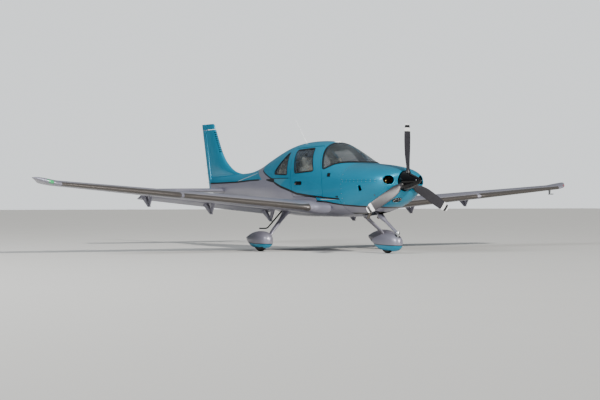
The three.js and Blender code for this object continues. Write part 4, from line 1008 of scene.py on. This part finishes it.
tools = [sidePrism("screenHole", outline["windshield"], "both")]
for name, hand in sides.items():
    tools.append(sidePrism("doorHole", grown(outline["door"], doorGap), name))
    tools.append(sidePrism("rearHole", outline["rearWindow"], name))
    tools.append(legHole(hand))
tools.append(sidePrism("baggageHole", grown(outline["baggage"], doorGap), "left"))
cabin = carve(copyOf(cabinOuter, "cabinSkin"), tools)
lineInside(dress(cabin, "bodyPaint", nodes=["fuselage_cabin", "cabin_belly"]))


def pane(name, key, side):
    # glass a little inside the skin's face, filling an outline
    edge = sidePrism("paneEdge", grown(outline[key], -1.0), side)
    return carve(skinShell(name, firewall, cabinEnd, 3.0, 9.0), edge, "INTERSECT")


def sealRing(name, key, side, outwards=11.0, inwards=15.0, outer=-1.6, inner=2.4, body="airframe"):
    # a band along an opening's edge: by default the black one round a window, just proud of the paint
    ring = skinShell(name, firewall, cabinEnd, outer, inner)
    carve(ring, sidePrism("outerEdge", grown(outline[key], outwards), side), "INTERSECT")
    carve(ring, sidePrism("innerEdge", grown(outline[key], -inwards), side))
    dress(ring, "satinBlack", body)


handle = {
    "hole": rounded([[2813, 1217], [3075, 1217], [3075, 1287], [2813, 1287]], 26),
    "paddle": rounded([[2822, 1226], [2990, 1226], [2990, 1279], [2822, 1279]], 20),
    "lock": rounded([[3016, 1222], [3068, 1222], [3060, 1262]], 8),
}
for name, hand in sides.items():
    label = name.capitalize()
    body = "door_" + name
    door = copyOf(cabinOuter, "doorSkin" + label)
    carve(door, sidePrism("doorEdge", outline["door"], name), "INTERSECT")
    carve(door, [sidePrism("doorGlassHole", outline["doorWindow"], name),
                 skinPatch("handleRecess", handle["hole"], name, -20, 13)])
    lineInside(dress(door, "bodyPaint", body, [body]))
    dress(skinPatch("handleDish" + label, grown(handle["hole"], 2), name, 11, 16), "satinBlack", body)
    dress(skinPatch("handlePaddle" + label, handle["paddle"], name, -2, 6), "glossBlack", body)
    dress(skinPatch("handleLock" + label, handle["lock"], name, 1, 8), "aluminium", body)
    dress(pane("doorPane" + label, "doorWindow", name), "clearAcrylic", body, ["door_window_" + name])
    sealRing("doorPaneBand" + label, "doorWindow", name, body=body)
    dress(pane("rearPane" + label, "rearWindow", name), "clearAcrylic", nodes=["rear_window_" + name])
    sealRing("rearPaneBand" + label, "rearWindow", name)
    sealRing("doorSeal" + label, "door", name, 7.6, -0.8, 8.0, 24.0)
baggage = copyOf(cabinOuter, "baggageDoorSkin")
carve(baggage, sidePrism("edge", outline["baggage"], "left"), "INTERSECT")
lineInside(dress(baggage, "bodyPaint", "baggage_door", ["baggage_door"]))
sealRing("baggageSeal", "baggage", "left", 7.6, -0.8, 8.0, 24.0)
for number in range(4):
    low = 1364 + number * 15
    slat = rounded([[1900, low], [1978, low], [1978, low + 6], [1900, low + 6]], 3, 3)
    dress(skinPatch("sideVentSlats%d" % (number + 1), slat, "both", -7, 0), "glossBlack")
dress(studs("staticPorts", ports, 6.0, 0.8), "satinBlack")
dress(pane("windshieldPane", "windshield", "both"), "clearAcrylic", nodes=["windshield"])
sealRing("windshieldBand", "windshield", "both", 11.0, 22.0)
bpy.data.objects.remove(cabinOuter)
print("cabin, doors and windows made")

# Tail
tail = {
    "stabiliser": [
        # x, lead, chord, thickness
        [0, 6655, 985, 0.1],
        [1860, 6985, 600, 0.1],
        [1935, 7040, 520, 0.09],
        [1962, 7120, 400, 0.08],
    ],
    "stabiliserHeight": 1150.0,
    "fin": [
        # height, leading edge, thickness
        [1380, 5700, 40],
        [1480, 6020, 62],
        [1512, 6270, 84],
        [1560, 6450, 96],
        [1640, 6620, 100],
        [1770, 6815, 98],
        [1980, 7005, 92],
        [2240, 7165, 80],
        [2485, 7300, 64],
    ],
    "horn": [[2478, 7318, 62], [2566, 7352, 52], [2590, 7395, 34]],
    "finTop": 2460.0,
    "farAft": 9000,
}
elevator = {"from": 96.0, "to": 2100.0, "station": 6985 + 0.63 * 600, "nose": (30.0, 20.0), "far": 3000}
finSpan = {"bottom": 1130.0, "top": 2590.0, "horn": 2478.0}
clearance = 6.0


def rudderHinge(z):
    # station of the rudder's raked hinge line at a height
    return 7455 + (z - 1240) * 262 / 1245


def rudderTail(z):
    # station of its trailing edge at a height
    return 7560 + (z - 1130) * 360 / 1460


def uprightSolid(name, z, lead, thick):
    # an upright surface from its leading edge to the rudder's trailing edge, from columns in millimetres
    chord = rudderTail(z) - lead
    aft, across = sectionRing(chord, thick / chord)
    return loft(name, place(across, lead + aft, z))


def behindRudderHinge(name):
    # everything behind the rudder's hinge line
    low, high = finSpan["bottom"] - 200, finSpan["top"] + 200
    ends = [[rudderHinge(low), low], [rudderHinge(high), high]]
    return prism(name, [*ends, [tail["farAft"], high], [tail["farAft"], low]], -300, 300)


def rudderNose(name, by, low, high):
    # the rudder's round nose between two heights, thinner towards its top
    height = finSpan["top"] - finSpan["bottom"]
    radii = [37 - 12 * (z - finSpan["bottom"]) / height + by for z in (low, high)]
    return tube(name, [[0, rudderHinge(z), z] for z in (low, high)], radii, 40)


def stabiliserSolid(name):
    places = np.concatenate([np.linspace(0, 1860, 16), np.linspace(1880, 1962, 9)])
    x, lead, chord, thick = tableAt(tail["stabiliser"], places).T[:, :, None]
    aft, up = sectionRing(chord, thick)
    right, left = (place(hand * x, lead + aft, tail["stabiliserHeight"] + up) for hand in (-1.0, 1.0))
    return loft(name, np.concatenate([right[::-1], left[1:]]))


finZ, finLead, finThick = tableAt(tail["fin"], np.linspace(1380, tail["finTop"], 46)).T[:, :, None]
tailSkin = skinTube("tailSkin", cabinEnd + gap, tailEnd)
carve(tailSkin, uprightSolid("finSolid", finZ, finLead, finThick), "UNION")
tailHollow = skinTube("tailHollow", cabinEnd - 20, 6900, fuselage["thinWall"])
noseCut = rudderNose("noseCut", clearance, finSpan["bottom"] - 60, finSpan["top"])
carve(tailSkin, [tailHollow, behindRudderHinge("hingeCut"), noseCut])
carve(tailSkin, stabiliserSolid("stabiliserCut"))
dress(tailSkin, "bodyPaint", nodes=["tail_cone_and_fin"])

z = np.linspace(finSpan["bottom"], finSpan["top"], 24)[:, None]
rudder = uprightSolid("rudderSkin", z, rudderHinge(z) - 420, 112 - 34 * (z - 1130) / 1532)
carve(rudder, behindRudderHinge("rudderCut"), "INTERSECT")
horn = tableAt(tail["horn"], np.linspace(2478, 2590, 8)).T[:, :, None]
nose = rudderNose("rudderNose", 0, finSpan["bottom"], finSpan["horn"])
carve(rudder, [nose, uprightSolid("horn", *horn)], "UNION")
dress(rudder, "rudderPaint", "rudder", ["rudder"])

stabiliser = stabiliserSolid("stabiliserSkin")
hinge, inner = elevator["station"], elevator["from"]


def elevatorTools(hand, grow):
    # a box behind the hinge line and a tapered round nose along it, both grown by a clearance
    start = hand * (inner - grow)
    low, high = sorted([start, hand * elevator["far"]])
    line = [[x, hinge, tail["stabiliserHeight"]] for x in (start, hand * elevator["to"])]
    box = block("elevatorBox", (low, hinge - grow, 900), (high, 9000, 1400))
    return box, tube("elevatorNose", line, np.add(elevator["nose"], grow), 40)


cuts = [block("middleCut", (6 - inner, hinge, 900), (inner - 6, 9000, 1400))]
for name, hand in sides.items():
    cuts += elevatorTools(hand, clearance)
    box, nose = elevatorTools(hand, 0.0)
    panel = carve(stabiliserSolid("elevatorSkin" + name.capitalize()), carve(box, nose, "UNION"), "INTERSECT")
    dress(panel, "wingPaint", "elevator", ["elevator_" + name])
dress(carve(stabiliser, cuts), "wingPaint", nodes=["stabiliser"])


def wick(name, body, x, station, height, ahead=10, behind=100):
    # a thin static discharge rod behind a trailing edge
    rod = [[x, station - ahead, height], [x, station + behind, height - 6]]
    dress(tube(name, rod, 2.4, 8), "satinBlack", body)


for number, z in enumerate((1330, 1520, 1700), 1):
    wick("rudderWick%d" % number, "rudder", 0, rudderTail(z), z)
for name, hand in sides.items():
    for number, x in enumerate((1100, 1400, 1700), 1):
        _, lead, chord, _ = tableAt(tail["stabiliser"], x)[0]
        label = name.capitalize() + str(number)
        wick("elevatorWick" + label, "elevator", hand * x, lead + chord, tail["stabiliserHeight"])
lampPath = [[0, rudderTail(1190) + aft, 1190] for aft in (-20, 14)]
dress(tube("tailLight", lampPath, 13.0, 24), "glowLens", "rudder")
# black patches just proud of the fin where the rudder meets it: painted shade of the hinge pockets
for number, z in enumerate((2403, 1693), 1):
    shape = [[-26, -16], [-4, -16], [2, 16], [-20, 16]]
    pocket = prism("hingePocketPaintedShade%d" % number, rounded(np.add(shape, [rudderHinge(z), z]), 6, 4), -45, 45)
    dress(carve(pocket, uprightSolid("pocketSkin", finZ, finLead, finThick + 2), "INTERSECT"), "satinBlack")
print("tail made")

# Wings, flaps and ailerons
flap = {"from": 775.0, "to": 3590.0, "hinge": 0.75, "pivot": 0.72, "drop": (225.0, 180.0), "lowered": 16.0}
aileron = {"from": 3617.0, "to": 5290.0, "hinge": 0.77}
brackets = {"places": (940.0, 2250.0, 3540.0), "half": 10.0, "armHalf": 4.0, "space": 6.0, "pinHalf": 26.0}
navLight = {"region": [[5590, 2300], [5700, 2300], [5700, 2622], [5590, 2560]], "swell": [1.0, 1.03, 1.06]}
walkway = {"region": [[712, 2960], [1010, 2970], [1010, 3336], [712, 3346]], "lift": 0.0009}


def wingPoint(x, share):
    # where a section is at a share of its chord: station, middle height, underside, half thickness
    _, lead, chord, height, thickness = wingRows(x)
    upper, lower = aerofoil(share, thickness, wing["camber"])
    return {
        "station": lead + share * chord,
        "middle": height + chord * (upper + lower) / 2,
        "under": height + chord * lower,
        "half": chord * (upper - lower) / 2,
    }


def movingTool(hand, facts, by):
    # everything behind a hinge line, with a round nose about that line
    low, high = facts["from"] - by, facts["to"] + by
    a, b = wingPoint(low, facts["hinge"]), wingPoint(high, facts["hinge"])
    reach = 2000.0
    slant = reach * (a["station"] - b["station"]) / (facts["to"] - facts["from"])
    plan = [[hand * low, a["station"]], [hand * high, b["station"]],
            [hand * (high + slant), b["station"] + reach], [hand * (low + slant), a["station"] + reach]]
    line = [[hand * low, a["station"], a["middle"]], [hand * high, b["station"], b["middle"]]]
    behind = prism("behindHinge", plan, 0, 3000, plan=True)
    return carve(behind, tube("roundNose", line, [a["half"] + by, b["half"] + by], 56), "UNION")


def flapHinge(x):
    # station and height of the flap's hinge line, which hangs under the wing
    a, b = (wingPoint(at, flap["pivot"]) for at in (flap["from"], flap["to"]))
    t = (x - flap["from"]) / (flap["to"] - flap["from"])
    drop = flap["drop"][0] * (1 - t) + flap["drop"][1] * t
    return [a["station"] * (1 - t) + b["station"] * t, a["under"] * (1 - t) + b["under"] * t - drop]


def lowerFlap(piece, hand):
    # turns a mesh about the flap's hinge line, by Rodrigues' formula on all its points
    start, stop = toMetres([[hand * x, *flapHinge(x)] for x in (flap["from"], flap["to"])])
    axis = unit(stop - start)
    rel = pointsOf(piece) - start
    angle = math.radians(-hand * flap["lowered"])
    spun = rel * math.cos(angle) + np.cross(axis, rel) * math.sin(angle)
    setPoints(piece, spun + np.outer(rel @ axis, axis) * (1 - math.cos(angle)) + start)
    return piece


for name, hand in sides.items():
    label = name.capitalize()
    body = wingSolid("wingSkin" + label, hand)
    flapSkin = carve(copyOf(body, "flapSkin" + label), movingTool(hand, flap, 0.0), "INTERSECT")
    aileronSkin = carve(copyOf(body, "aileronSkin" + label), movingTool(hand, aileron, 0.0), "INTERSECT")
    carve(body, [movingTool(hand, flap, clearance), movingTool(hand, aileron, clearance), legHole(hand)])
    dress(body, "wingPaint", nodes=["wing_" + name])
    dress(lowerFlap(flapSkin, hand), "wingPaint", "flap_" + name, ["flap_" + name])
    dress(aileronSkin, "wingPaint", "aileron_" + name, ["aileron_" + name])
    for number, x in enumerate(brackets["places"], 1):
        mark = label + str(number)
        station, height = flapHinge(x)
        pivot = np.array([station, height])
        back, root = (np.array([point["station"], point["under"]]) for point in
                      (wingPoint(x, flap["hinge"] - 0.035), wingPoint(x, flap["hinge"] + 0.11)))
        shape = [back + [-150, 16], back + [0, 12], pivot + [24, 8], pivot + [8, -14], pivot + [-16, -8]]
        half = brackets["half"]
        dress(prism("flapBracket" + mark, rounded(shape, 9, 5), hand * x - half, hand * x + half), "wingPaint")
        shape = [pivot + [-14, -12], pivot + [12, -14], root + [44, 14], root + [-92, 14]]
        for end, way in (("In", -1), ("Out", 1)):
            half = brackets["armHalf"]
            centre = hand * x + way * (brackets["half"] + brackets["space"] + half)
            arm = prism("flapArm" + mark + end, rounded(shape, 9, 4), centre - half, centre + half)
            dress(lowerFlap(arm, hand), "wingPaint", "flap_" + name)
        pin = [[hand * at, *flapHinge(at)] for at in (x - brackets["pinHalf"], x + brackets["pinHalf"])]
        dress(tube("flapPin" + mark, pin, 5.0, 20), "steel")
    # walkway on top beside the cabin: the wing's own shape, raised by under a millimetre
    walk = wingSolid("wingWalk" + label, hand)
    corners = rounded(np.multiply(walkway["region"], [hand, 1]), 40)
    carve(walk, prism("walkEdge", corners, 780, 1400, plan=True), "INTERSECT")
    setPoints(walk, pointsOf(walk) + [0, 0, walkway["lift"]])
    dress(walk, "gripPaint")
    # position light and strobe, let into the tip's leading edge
    lens = wingSolid("navLight" + label, hand)
    region = np.multiply(navLight["region"], [hand, 1])
    carve(lens, prism("lensEdge", region, 900, 1500, plan=True), "INTERSECT")
    points = pointsOf(lens)
    middle = points.mean(0)
    setPoints(lens, middle + (points - middle) * navLight["swell"])
    dress(lens, "redLens" if hand > 0 else "greenLens")
    for number, x in enumerate((3900, 4500, 5100), 1):
        edge = wingPoint(x, 1.0)
        mark = label + str(number)
        wick("aileronWick" + mark, "aileron_" + name, hand * x, edge["station"], edge["middle"], 12, 110)
print("wings made")

# Propeller
propeller = {
    "station": 362.0,
    "tip": 10.0,
    "restTurn": 1.8,  # degrees that the blades stand past upright in the photograph
    "spinnerRadius": 166.0,
    "spinnerBack": 448.0,
    "root": [[120, 40], [150, 42], [172, 42], [182, 44]],  # distance out and radius of the blade's round root
    "sections": [
        # radius, chord, pitch, thickness, sweep
        [195, 96, 39, 66, 0],
        [280, 150, 32, 34, -12],
        [420, 170, 24, 21, -28],
        [600, 172, 17.5, 15, -34],
        [780, 164, 13.5, 11, -38],
        [900, 142, 11.5, 8.5, -40],
        [968, 108, 10.5, 6.5, -44],
        [990, 76, 10.5, 5, -48],
    ],
}


def bladeSolid(name, ct, st):
    # a blade from elliptical sections, each turned to its pitch and swept, up from a round root
    places = np.concatenate([np.linspace(195, 960, 36), np.linspace(966, 990, 6)])
    radius, chord, pitch, thick, sweep = tableAt(propeller["sections"], places).T[:, :, None]
    start, grow = np.array(propeller["root"], float).T[:, :, None]
    ca, sa = np.cos(angles(44)), np.sin(angles(44))
    along = chord / 2 * ca + sweep
    up = thick / 2 * sa * (1 + 0.25 * ca)
    c, s = np.cos(np.radians(pitch)), np.sin(np.radians(pitch))
    x = np.concatenate([grow * ca, along * c - up * s])
    station = propeller["station"] + np.concatenate([grow * sa, along * s + up * c])
    out = np.concatenate([start, radius])
    return loft(name, place(x * ct + out * st, station, shaftHeight - x * st + out * ct))


# the spinner: a quarter of its radius from an elliptical cap at its tip, the rest from a long gentle curve
steps = np.linspace(0, 1, 90) ** 1.6
cap = np.sqrt(1 - (1 - np.minimum(steps / 0.12, 1)) ** 2)
wide, back = propeller["spinnerRadius"], propeller["spinnerBack"]
radius = wide * (0.24 * cap + 0.76 * (1 - (1 - steps) ** 1.3))
station = propeller["tip"] + steps * (back - propeller["tip"])
profile = np.concatenate([np.stack([radius, station], -1), [[wide - 8, back + 6], [0, back + 6]]])
shaft = (0, 0, shaftHeight)
spinner = capLathe("spinnerShell", profile, shaft, "s", 96)
dress(spinner, "glossBlack", "propeller", ["spinner"])
plate = [[140, back - 6], [wide + 1.2, back - 6], [wide + 1.2, back + 3], [140, back + 3]]
dress(lathe("spinnerBackplate", plate, shaft, "s", 96), "satinBlack", "propeller")
for number in range(3):
    turn = math.radians(number * 120.0 + propeller["restTurn"])
    ct, st = math.cos(turn), math.sin(turn)
    mark = str(number + 1)
    dress(bladeSolid("blade" + mark, ct, st), "bladeCoat", "propeller", ["propeller_blade_" + mark], angle=50)
    path = [[out * st, propeller["station"], shaftHeight + out * ct] for out in (138, 158, 168, 182)]
    dress(tube("bladeBoot" + mark, path, [52, 52, 46, 41], 40), "satinBlack", "propeller")
print("propeller made")

# Landing gear
gear = {
    "main": {"x": 1381.0, "station": 3010.0, "radius": 175.0, "width": 146.0, "rim": 84.0},
    "nose": {"x": 0.0, "station": 954.0, "radius": 162.0, "width": 120.0, "rim": 68.0},
    "pant": [
        # along, half width, top, bottom
        [0, 20, 222, 182],
        [14, 54, 264, 132],
        [60, 94, 314, 82],
        [160, 124, 354, 52],
        [330, 134, 368, 46],
        [500, 118, 353, 58],
        [680, 76, 308, 112],
        [850, 12, 254, 204],
    ],
    "fairing": [[-790, 318, 150], [-752, 268, 118], [-706, 216, 88], [-650, 176, 66], [-600, 158, 58]],
    "wall": 5.0,
}


def wheelPieces(label, body, facts, nodes):
    # a tyre with four tread grooves and a step at its bead, and a dished rim with a hub
    centre = (facts["x"], facts["station"], facts["radius"])
    wide, rim = facts["width"], facts["rim"]
    angle = np.linspace(-np.pi / 2, np.pi / 2, 61)
    radius = rim + (facts["radius"] - rim) * np.abs(np.cos(angle)) ** 0.62
    across = wide / 2 * np.sin(angle)
    for groove in (-0.42, -0.15, 0.15, 0.42):
        radius = radius - 5.0 * np.exp(-(((across / (wide / 2) - groove) / 0.035) ** 2))
    bead = [[rim - 6, wide * 0.40], [rim - 6, -wide * 0.40]]
    profile = np.concatenate([np.stack([radius, across], -1), bead])
    dress(lathe("tyre" + label, profile, centre, "x", 96), "rubber", body, [nodes[0]])
    w, r = wide * 0.42, rim - 6.4
    hub = [[18, w * 0.72], [30, w * 0.74], [34, w * 0.5]]
    half = np.array([*hub, [r * 0.66, w * 0.42], [r * 0.86, w * 0.62], [r * 0.93, w * 0.95], [r, w]])
    profile = np.concatenate([half, half[::-1] * [1, -1]])
    dress(lathe("rim" + label, profile, centre), "aluminium", body, [nodes[1]])


def wheelCover(name, facts, start, rise, wide, halfBay, bayReach, holes):
    # a hollow teardrop whose half width, top and bottom come from a table, open below for the wheel

    def rings(inset):
        # rows lie closest together at the two ends, where the shape turns fastest
        share = (1 - np.cos(np.linspace(0, np.pi, 56))) / 2
        rows = gear["pant"][1:-1] if inset else gear["pant"]
        places = rows[0][0] + (rows[-1][0] - rows[0][0]) * share
        along, half, top, bottom = tableAt(gear["pant"], places).T[:, :, None]
        angle = 2 * np.pi * (np.arange(48) + 0.5) / 48
        c, s = np.cos(angle), np.sin(angle)
        x = np.maximum(half * wide - inset, 3) * np.sign(c) * np.abs(c) ** 0.86
        up = np.maximum((top - bottom) / 2 - inset, 3) * np.sign(s) * np.abs(s) ** 0.86
        return place(facts["x"] + x, start + along, (top + bottom) / 2 + up + rise)

    x, station = facts["x"], facts["station"]
    bay = block("bay", (x - halfBay, station - bayReach, -50), (x + halfBay, station + bayReach, 150))
    return carve(loft(name, rings(0.0)), [loft("inside", rings(gear["wall"])), *holes, bay])


def finishNode(node, finish):
    # gives a finish to a CAD node that keeps its shape
    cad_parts[node].data.materials.clear()
    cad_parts[node].data.materials.append(finishes[finish][0])


for name, hand in sides.items():
    label = name.capitalize()
    facts = {**gear["main"], "x": hand * gear["main"]["x"]}
    dress(loft("mainLegSkin" + label, legRings(hand)), "wingPaint", nodes=["main_leg_" + name])
    z, chord, thick = tableAt(gear["fairing"], np.linspace(-790, -600, 14)).T[:, :, None]
    share = (800 + z) / 160
    rings = teardrops(hand, 770 + 150 * share, 3030 - 40 * share, -z, chord, thick)
    dress(loft("legFairing" + label, rings), "wingPaint")
    halfBay = facts["width"] / 2 + 14
    cover = wheelCover("wheelCover" + label, facts, 2672.0, 4.0, 1.0, halfBay, 200, [legHole(hand)])
    dress(cover, "mainPantPaint", nodes=["wheel_pant_" + name])
    wheelPieces("Main" + label, "wheel_" + name, facts, ["tyre_main_" + name, "rim_main_" + name])
    finishNode("axle_" + name, "steel")
pivotHole = tube("pivotHole", [[0, 650, 200], [0, 650, 500]], 46, 48)
cover = wheelCover("noseWheelCover", gear["nose"], 568.0, -12.0, 0.95, 76, 190, [pivotHole])
dress(cover, "nosePantPaint", "nose_caster", ["wheel_pant_nose"])
wheelPieces("Nose", "wheel_nose", gear["nose"], ["tyre_nose", "rim_nose"])
print("landing gear made")

# Slim pieces, drawn again with rounder sections
strut = tube("noseStrutTube", np.linspace([0, 1549, 898], [0, 660, 353], 24), np.linspace(31, 26, 24), 40)
dress(strut, "wingPaint", nodes=["nose_strut"])
collar = [[0, 326], [34, 326], [34, 376], [30, 384], [0, 384]]
dress(capLathe("noseStrutCollar", collar, (0, 650, 0), "z", 48), "steel")
path = np.linspace([0, 1180, 672], [0, 1000, 562], 12)
dress(tube("noseStrutFairing", path, np.linspace(62, 33, 12), 40, (0.8, 1.0)), "bodyPaint")
foot, mast = ([0, 3596, 1996], [0, 3676, 2090], 5), ([0, 3700, 2118], [0, 4019, 2500], 14)
path = np.concatenate([np.linspace(*foot), np.linspace(*mast)])
dress(tube("whipRod", path, np.linspace(10, 3.2, 19), 16), "whitePlastic", nodes=["whip_antenna"])
puck = [[0, -24], [74, -24], [74, -14], [70, -4], [58, 5], [34, 10], [0, 11.5]]
dress(capLathe("roofPuck", puck, (0, 2536, 2024), "z"), "whitePlastic", nodes=["roof_antenna"])
rail = [[-330, 3996, 735], [-600, 4066, 420], [-622, 4071, 404], [-648, 4074, 398], [-789, 4078, 396]]
dress(tube("stepRail", rail, [16, 13, 13, 13, 13]), "glossBlack", nodes=["entry_step"])
tread = rounded([[4063, 396], [4093, 396], [4093, 412], [4063, 412]], 5, 4)
dress(prism("stepTread", tread, -786, -652), "gripPaint")
for name, hand in sides.items():
    path = [[105, 1140, 1005], [105, 1146, 960], [106, 1200, 880], [109, 1380, 640], [110, 1398, 616]]
    pipe = tube("exhaustTube" + name.capitalize(), np.multiply(path, [hand, 1, 1]), 27.0, 36)
    carve(pipe, tube("bore", [[hand * 109, 1350, 680], [hand * 111, 1420, 586]], 24.0, 36))
    dress(pipe, "exhaustSteel", nodes=["exhaust_pipe_" + name])

# Seats: padded panels that swell and close against each other, on trimmed bases
seats = {
    "places": {
        # node: middles across, station, half width
        "seat_front_left": ([308.0], 2400.0, 220.0),
        "seat_front_right": ([-308.0], 2400.0, 220.0),
        "seat_rear": ([-268.0, 268.0], 3320.0, 250.0),
    },
    "back": [[390, 960], [500, 940], [680, 1560], [590, 1590]],
    "head": [[610, 1572], [690, 1556], [738, 1752], [668, 1766]],
    "voxel": 0.0118,
    "pressure": 4.0,
    "frames": 20,
    "cap": 0.013,
    "edge": 11.0,
    "space": 16.0,  # between the middle panels and the bolsters
    "split": (0.52, 0.55),  # where the back's lower panel ends and its upper one starts
}


def seatPanels(middle, station, half):
    # one seat's cushion, back and headrest as panels with thin gaps, shrunk to leave room to swell
    edge, space = seats["edge"], seats["space"]
    bolster = half * 0.32
    left, centre, right = ((-half + edge, -half + bolster), (-half + bolster + space, half - bolster - space),
                           (half - bolster, half - edge))
    cushion = [[edge, 912], [458, 912], [470 - edge, 998], [edge + 30, 1000], [edge, 984]]
    cushion = np.add(cushion, [station, 0])
    back = grown(np.add(seats["back"], [station, 0]), -edge)
    front, rear = back[3] - back[0], back[2] - back[1]
    low, high = seats["split"]
    lower = [back[0], back[1], back[1] + rear * low, back[0] + front * low]
    upper = [back[0] + front * high, back[1] + rear * high, back[2], back[3]]
    head = grown(np.add(seats["head"], [station, 0]), -8)
    panels = [(cushion, 24, span) for span in (left, centre, right)]
    panels += [(back, 28, left), (back, 28, right), (lower, 20, centre), (upper, 20, centre)]
    panels.append((head, 24, (-half * 0.56, half * 0.56)))
    return [prism("panel", rounded(shape, corner, 4), middle + a, middle + b)
            for shape, corner, (a, b) in panels]


def swell(piece):
    # voxel remesh, then cloth under pressure, with how far each point may move held to a cap
    remesh = piece.modifiers.new("remesh", "REMESH")
    remesh.mode = "VOXEL"
    remesh.voxel_size = seats["voxel"]
    carve(piece, [])
    before = pointsOf(piece)
    cloth = piece.modifiers.new("cloth", "CLOTH")
    cloth.settings.use_pressure = True
    cloth.settings.uniform_pressure_force = seats["pressure"]
    cloth.settings.effector_weights.gravity = 0.0
    cloth.point_cache.frame_end = seats["frames"]
    for number in range(1, seats["frames"] + 1):
        scene.frame_set(number)
    carve(piece, [])
    scene.frame_set(1)
    move = pointsOf(piece) - before
    length = np.linalg.norm(move, axis=1, keepdims=True)
    setPoints(piece, before + move * np.minimum(1, seats["cap"] / np.maximum(length, 1e-9)))


for node, (middles, station, half) in seats["places"].items():
    label = "".join(word.capitalize() for word in node.split("_"))
    panels = [panel for middle in middles for panel in seatPanels(middle, station, half)]
    pad = carve(panels[0], panels[1:], "UNION")
    pad.name = "pads" + label
    carve(pad, skinTube("padLimit", 2000, 4500, 42.0), "INTERSECT")
    swell(pad)
    smooth = pad.modifiers.new("smooth", "SUBSURF")
    smooth.levels = 1
    smooth.render_levels = 1
    dress(pad, "creamLeather", nodes=[node], angle=180)
    for number, middle in enumerate(middles, 1):
        mark = label + str(number)
        low, high = middle - half + 16, middle + half - 16
        dress(block("seatBase" + mark, (low, station + 20, 798.5), (high, station + 440, 910)), "darkTrim")
        shape = rounded(grown(np.add(seats["back"], [station, 0]), -26), 16)
        shell = prism("seatShell" + mark, shape, low + 8, high - 8)
        dress(carve(shell, skinTube("shellLimit", 2000, 4500, 42.0), "INTERSECT"), "darkTrim")
        for end, x in (("In", middle - 58), ("Out", middle + 58)):
            post = [[x, station + 640, 1540], [x, station + 664, 1600]]
            dress(tube("headrestPost" + mark + end, post, 6.0, 14), "steel")
print("seats made")

# Instrument panel fittings
for name, hand in sides.items():
    label = name.capitalize()
    low, high = sorted([hand * 70, hand * 400])
    screen = [[1998, 1326], [2004, 1325], [2020, 1488], [2014, 1490]]
    dress(prism("display" + label, screen, low, high), "screenGlass")
    bezel = [[1992, 1316], [2000, 1315], [2018, 1498], [2010, 1500]]
    dress(prism("displayBezel" + label, bezel, low - 10, high + 10), "satinBlack")
    stick = [[470, 1990, 1330], [466, 2050, 1322], [462, 2078, 1340], [460, 2086, 1400]]
    stick = np.multiply(stick, [hand, 1, 1])
    dress(tube("sideStick" + label, stick, [10, 11, 15, 16], 20), "satinBlack")
deck = prism("glareshield", [[1582, 1566], [1995, 1504], [2004, 1518], [1586, 1584]], -570, 570)
dress(carve(deck, skinTube("deckLimit", 1560, 2100, 30.0), "INTERSECT"), "navyTrim")
kept = {
    "nose_fork": "steel",
    "engine_block": "casting",
    "cabin_floor": "carpet",
    "instrument_panel": "darkTrim",
    "centre_console": "darkTrim",
    "pitot_tube": "steel",
}
for node, finish in kept.items():
    finishNode(node, finish)

# Floor and surroundings
stageFacts = {"half": 150.0, "steps": 24}
steps = stageFacts["steps"]
lines = np.linspace(-stageFacts["half"], stageFacts["half"], steps)
row = np.arange(steps - 1)
start = (row[:, None] * steps + row).ravel()
floorMesh = bpy.data.meshes.new("studioFloor")
floorMesh.from_pydata([(x, y, 0.0) for y in lines.tolist() for x in lines.tolist()], [],
                      np.stack([start, start + 1, start + steps + 1, start + steps], -1).tolist())
floorMesh.materials.append(finishes["floorPaint"][0])
addObject("studioFloor", floorMesh)

studio = {"ambient": 0.36, "backdrop": 1.5, "low": "#9aa3a9", "high": "#dfeaf3", "highFrom": 0.6,
          "seen": "#e4e8ea"}
world = bpy.data.worlds.new("softStudio")
scene.world = world
world.use_nodes = True
tree = world.node_tree
direction = addNode(tree, "TexCoord", output="Generated")
up = addNode(tree, "SeparateXYZ", {0: direction}, "Z")
ramp = addNode(tree, "ValToRGB", {0: up})
first, last = ramp.socket.node.color_ramp.elements
first.color = linear(studio["low"])
last.position = studio["highFrom"]
last.color = linear(studio["high"])
seen = addNode(tree, "LightPath", output="Is Camera Ray")
background = tree.nodes["Background"].inputs
tree.links.new(layered(ramp, (seen, studio["seen"])).socket, background["Color"])
brightness = seen * (studio["backdrop"] - studio["ambient"]) + studio["ambient"]
tree.links.new(brightness.socket, background["Strength"])
print("floor and surroundings made")
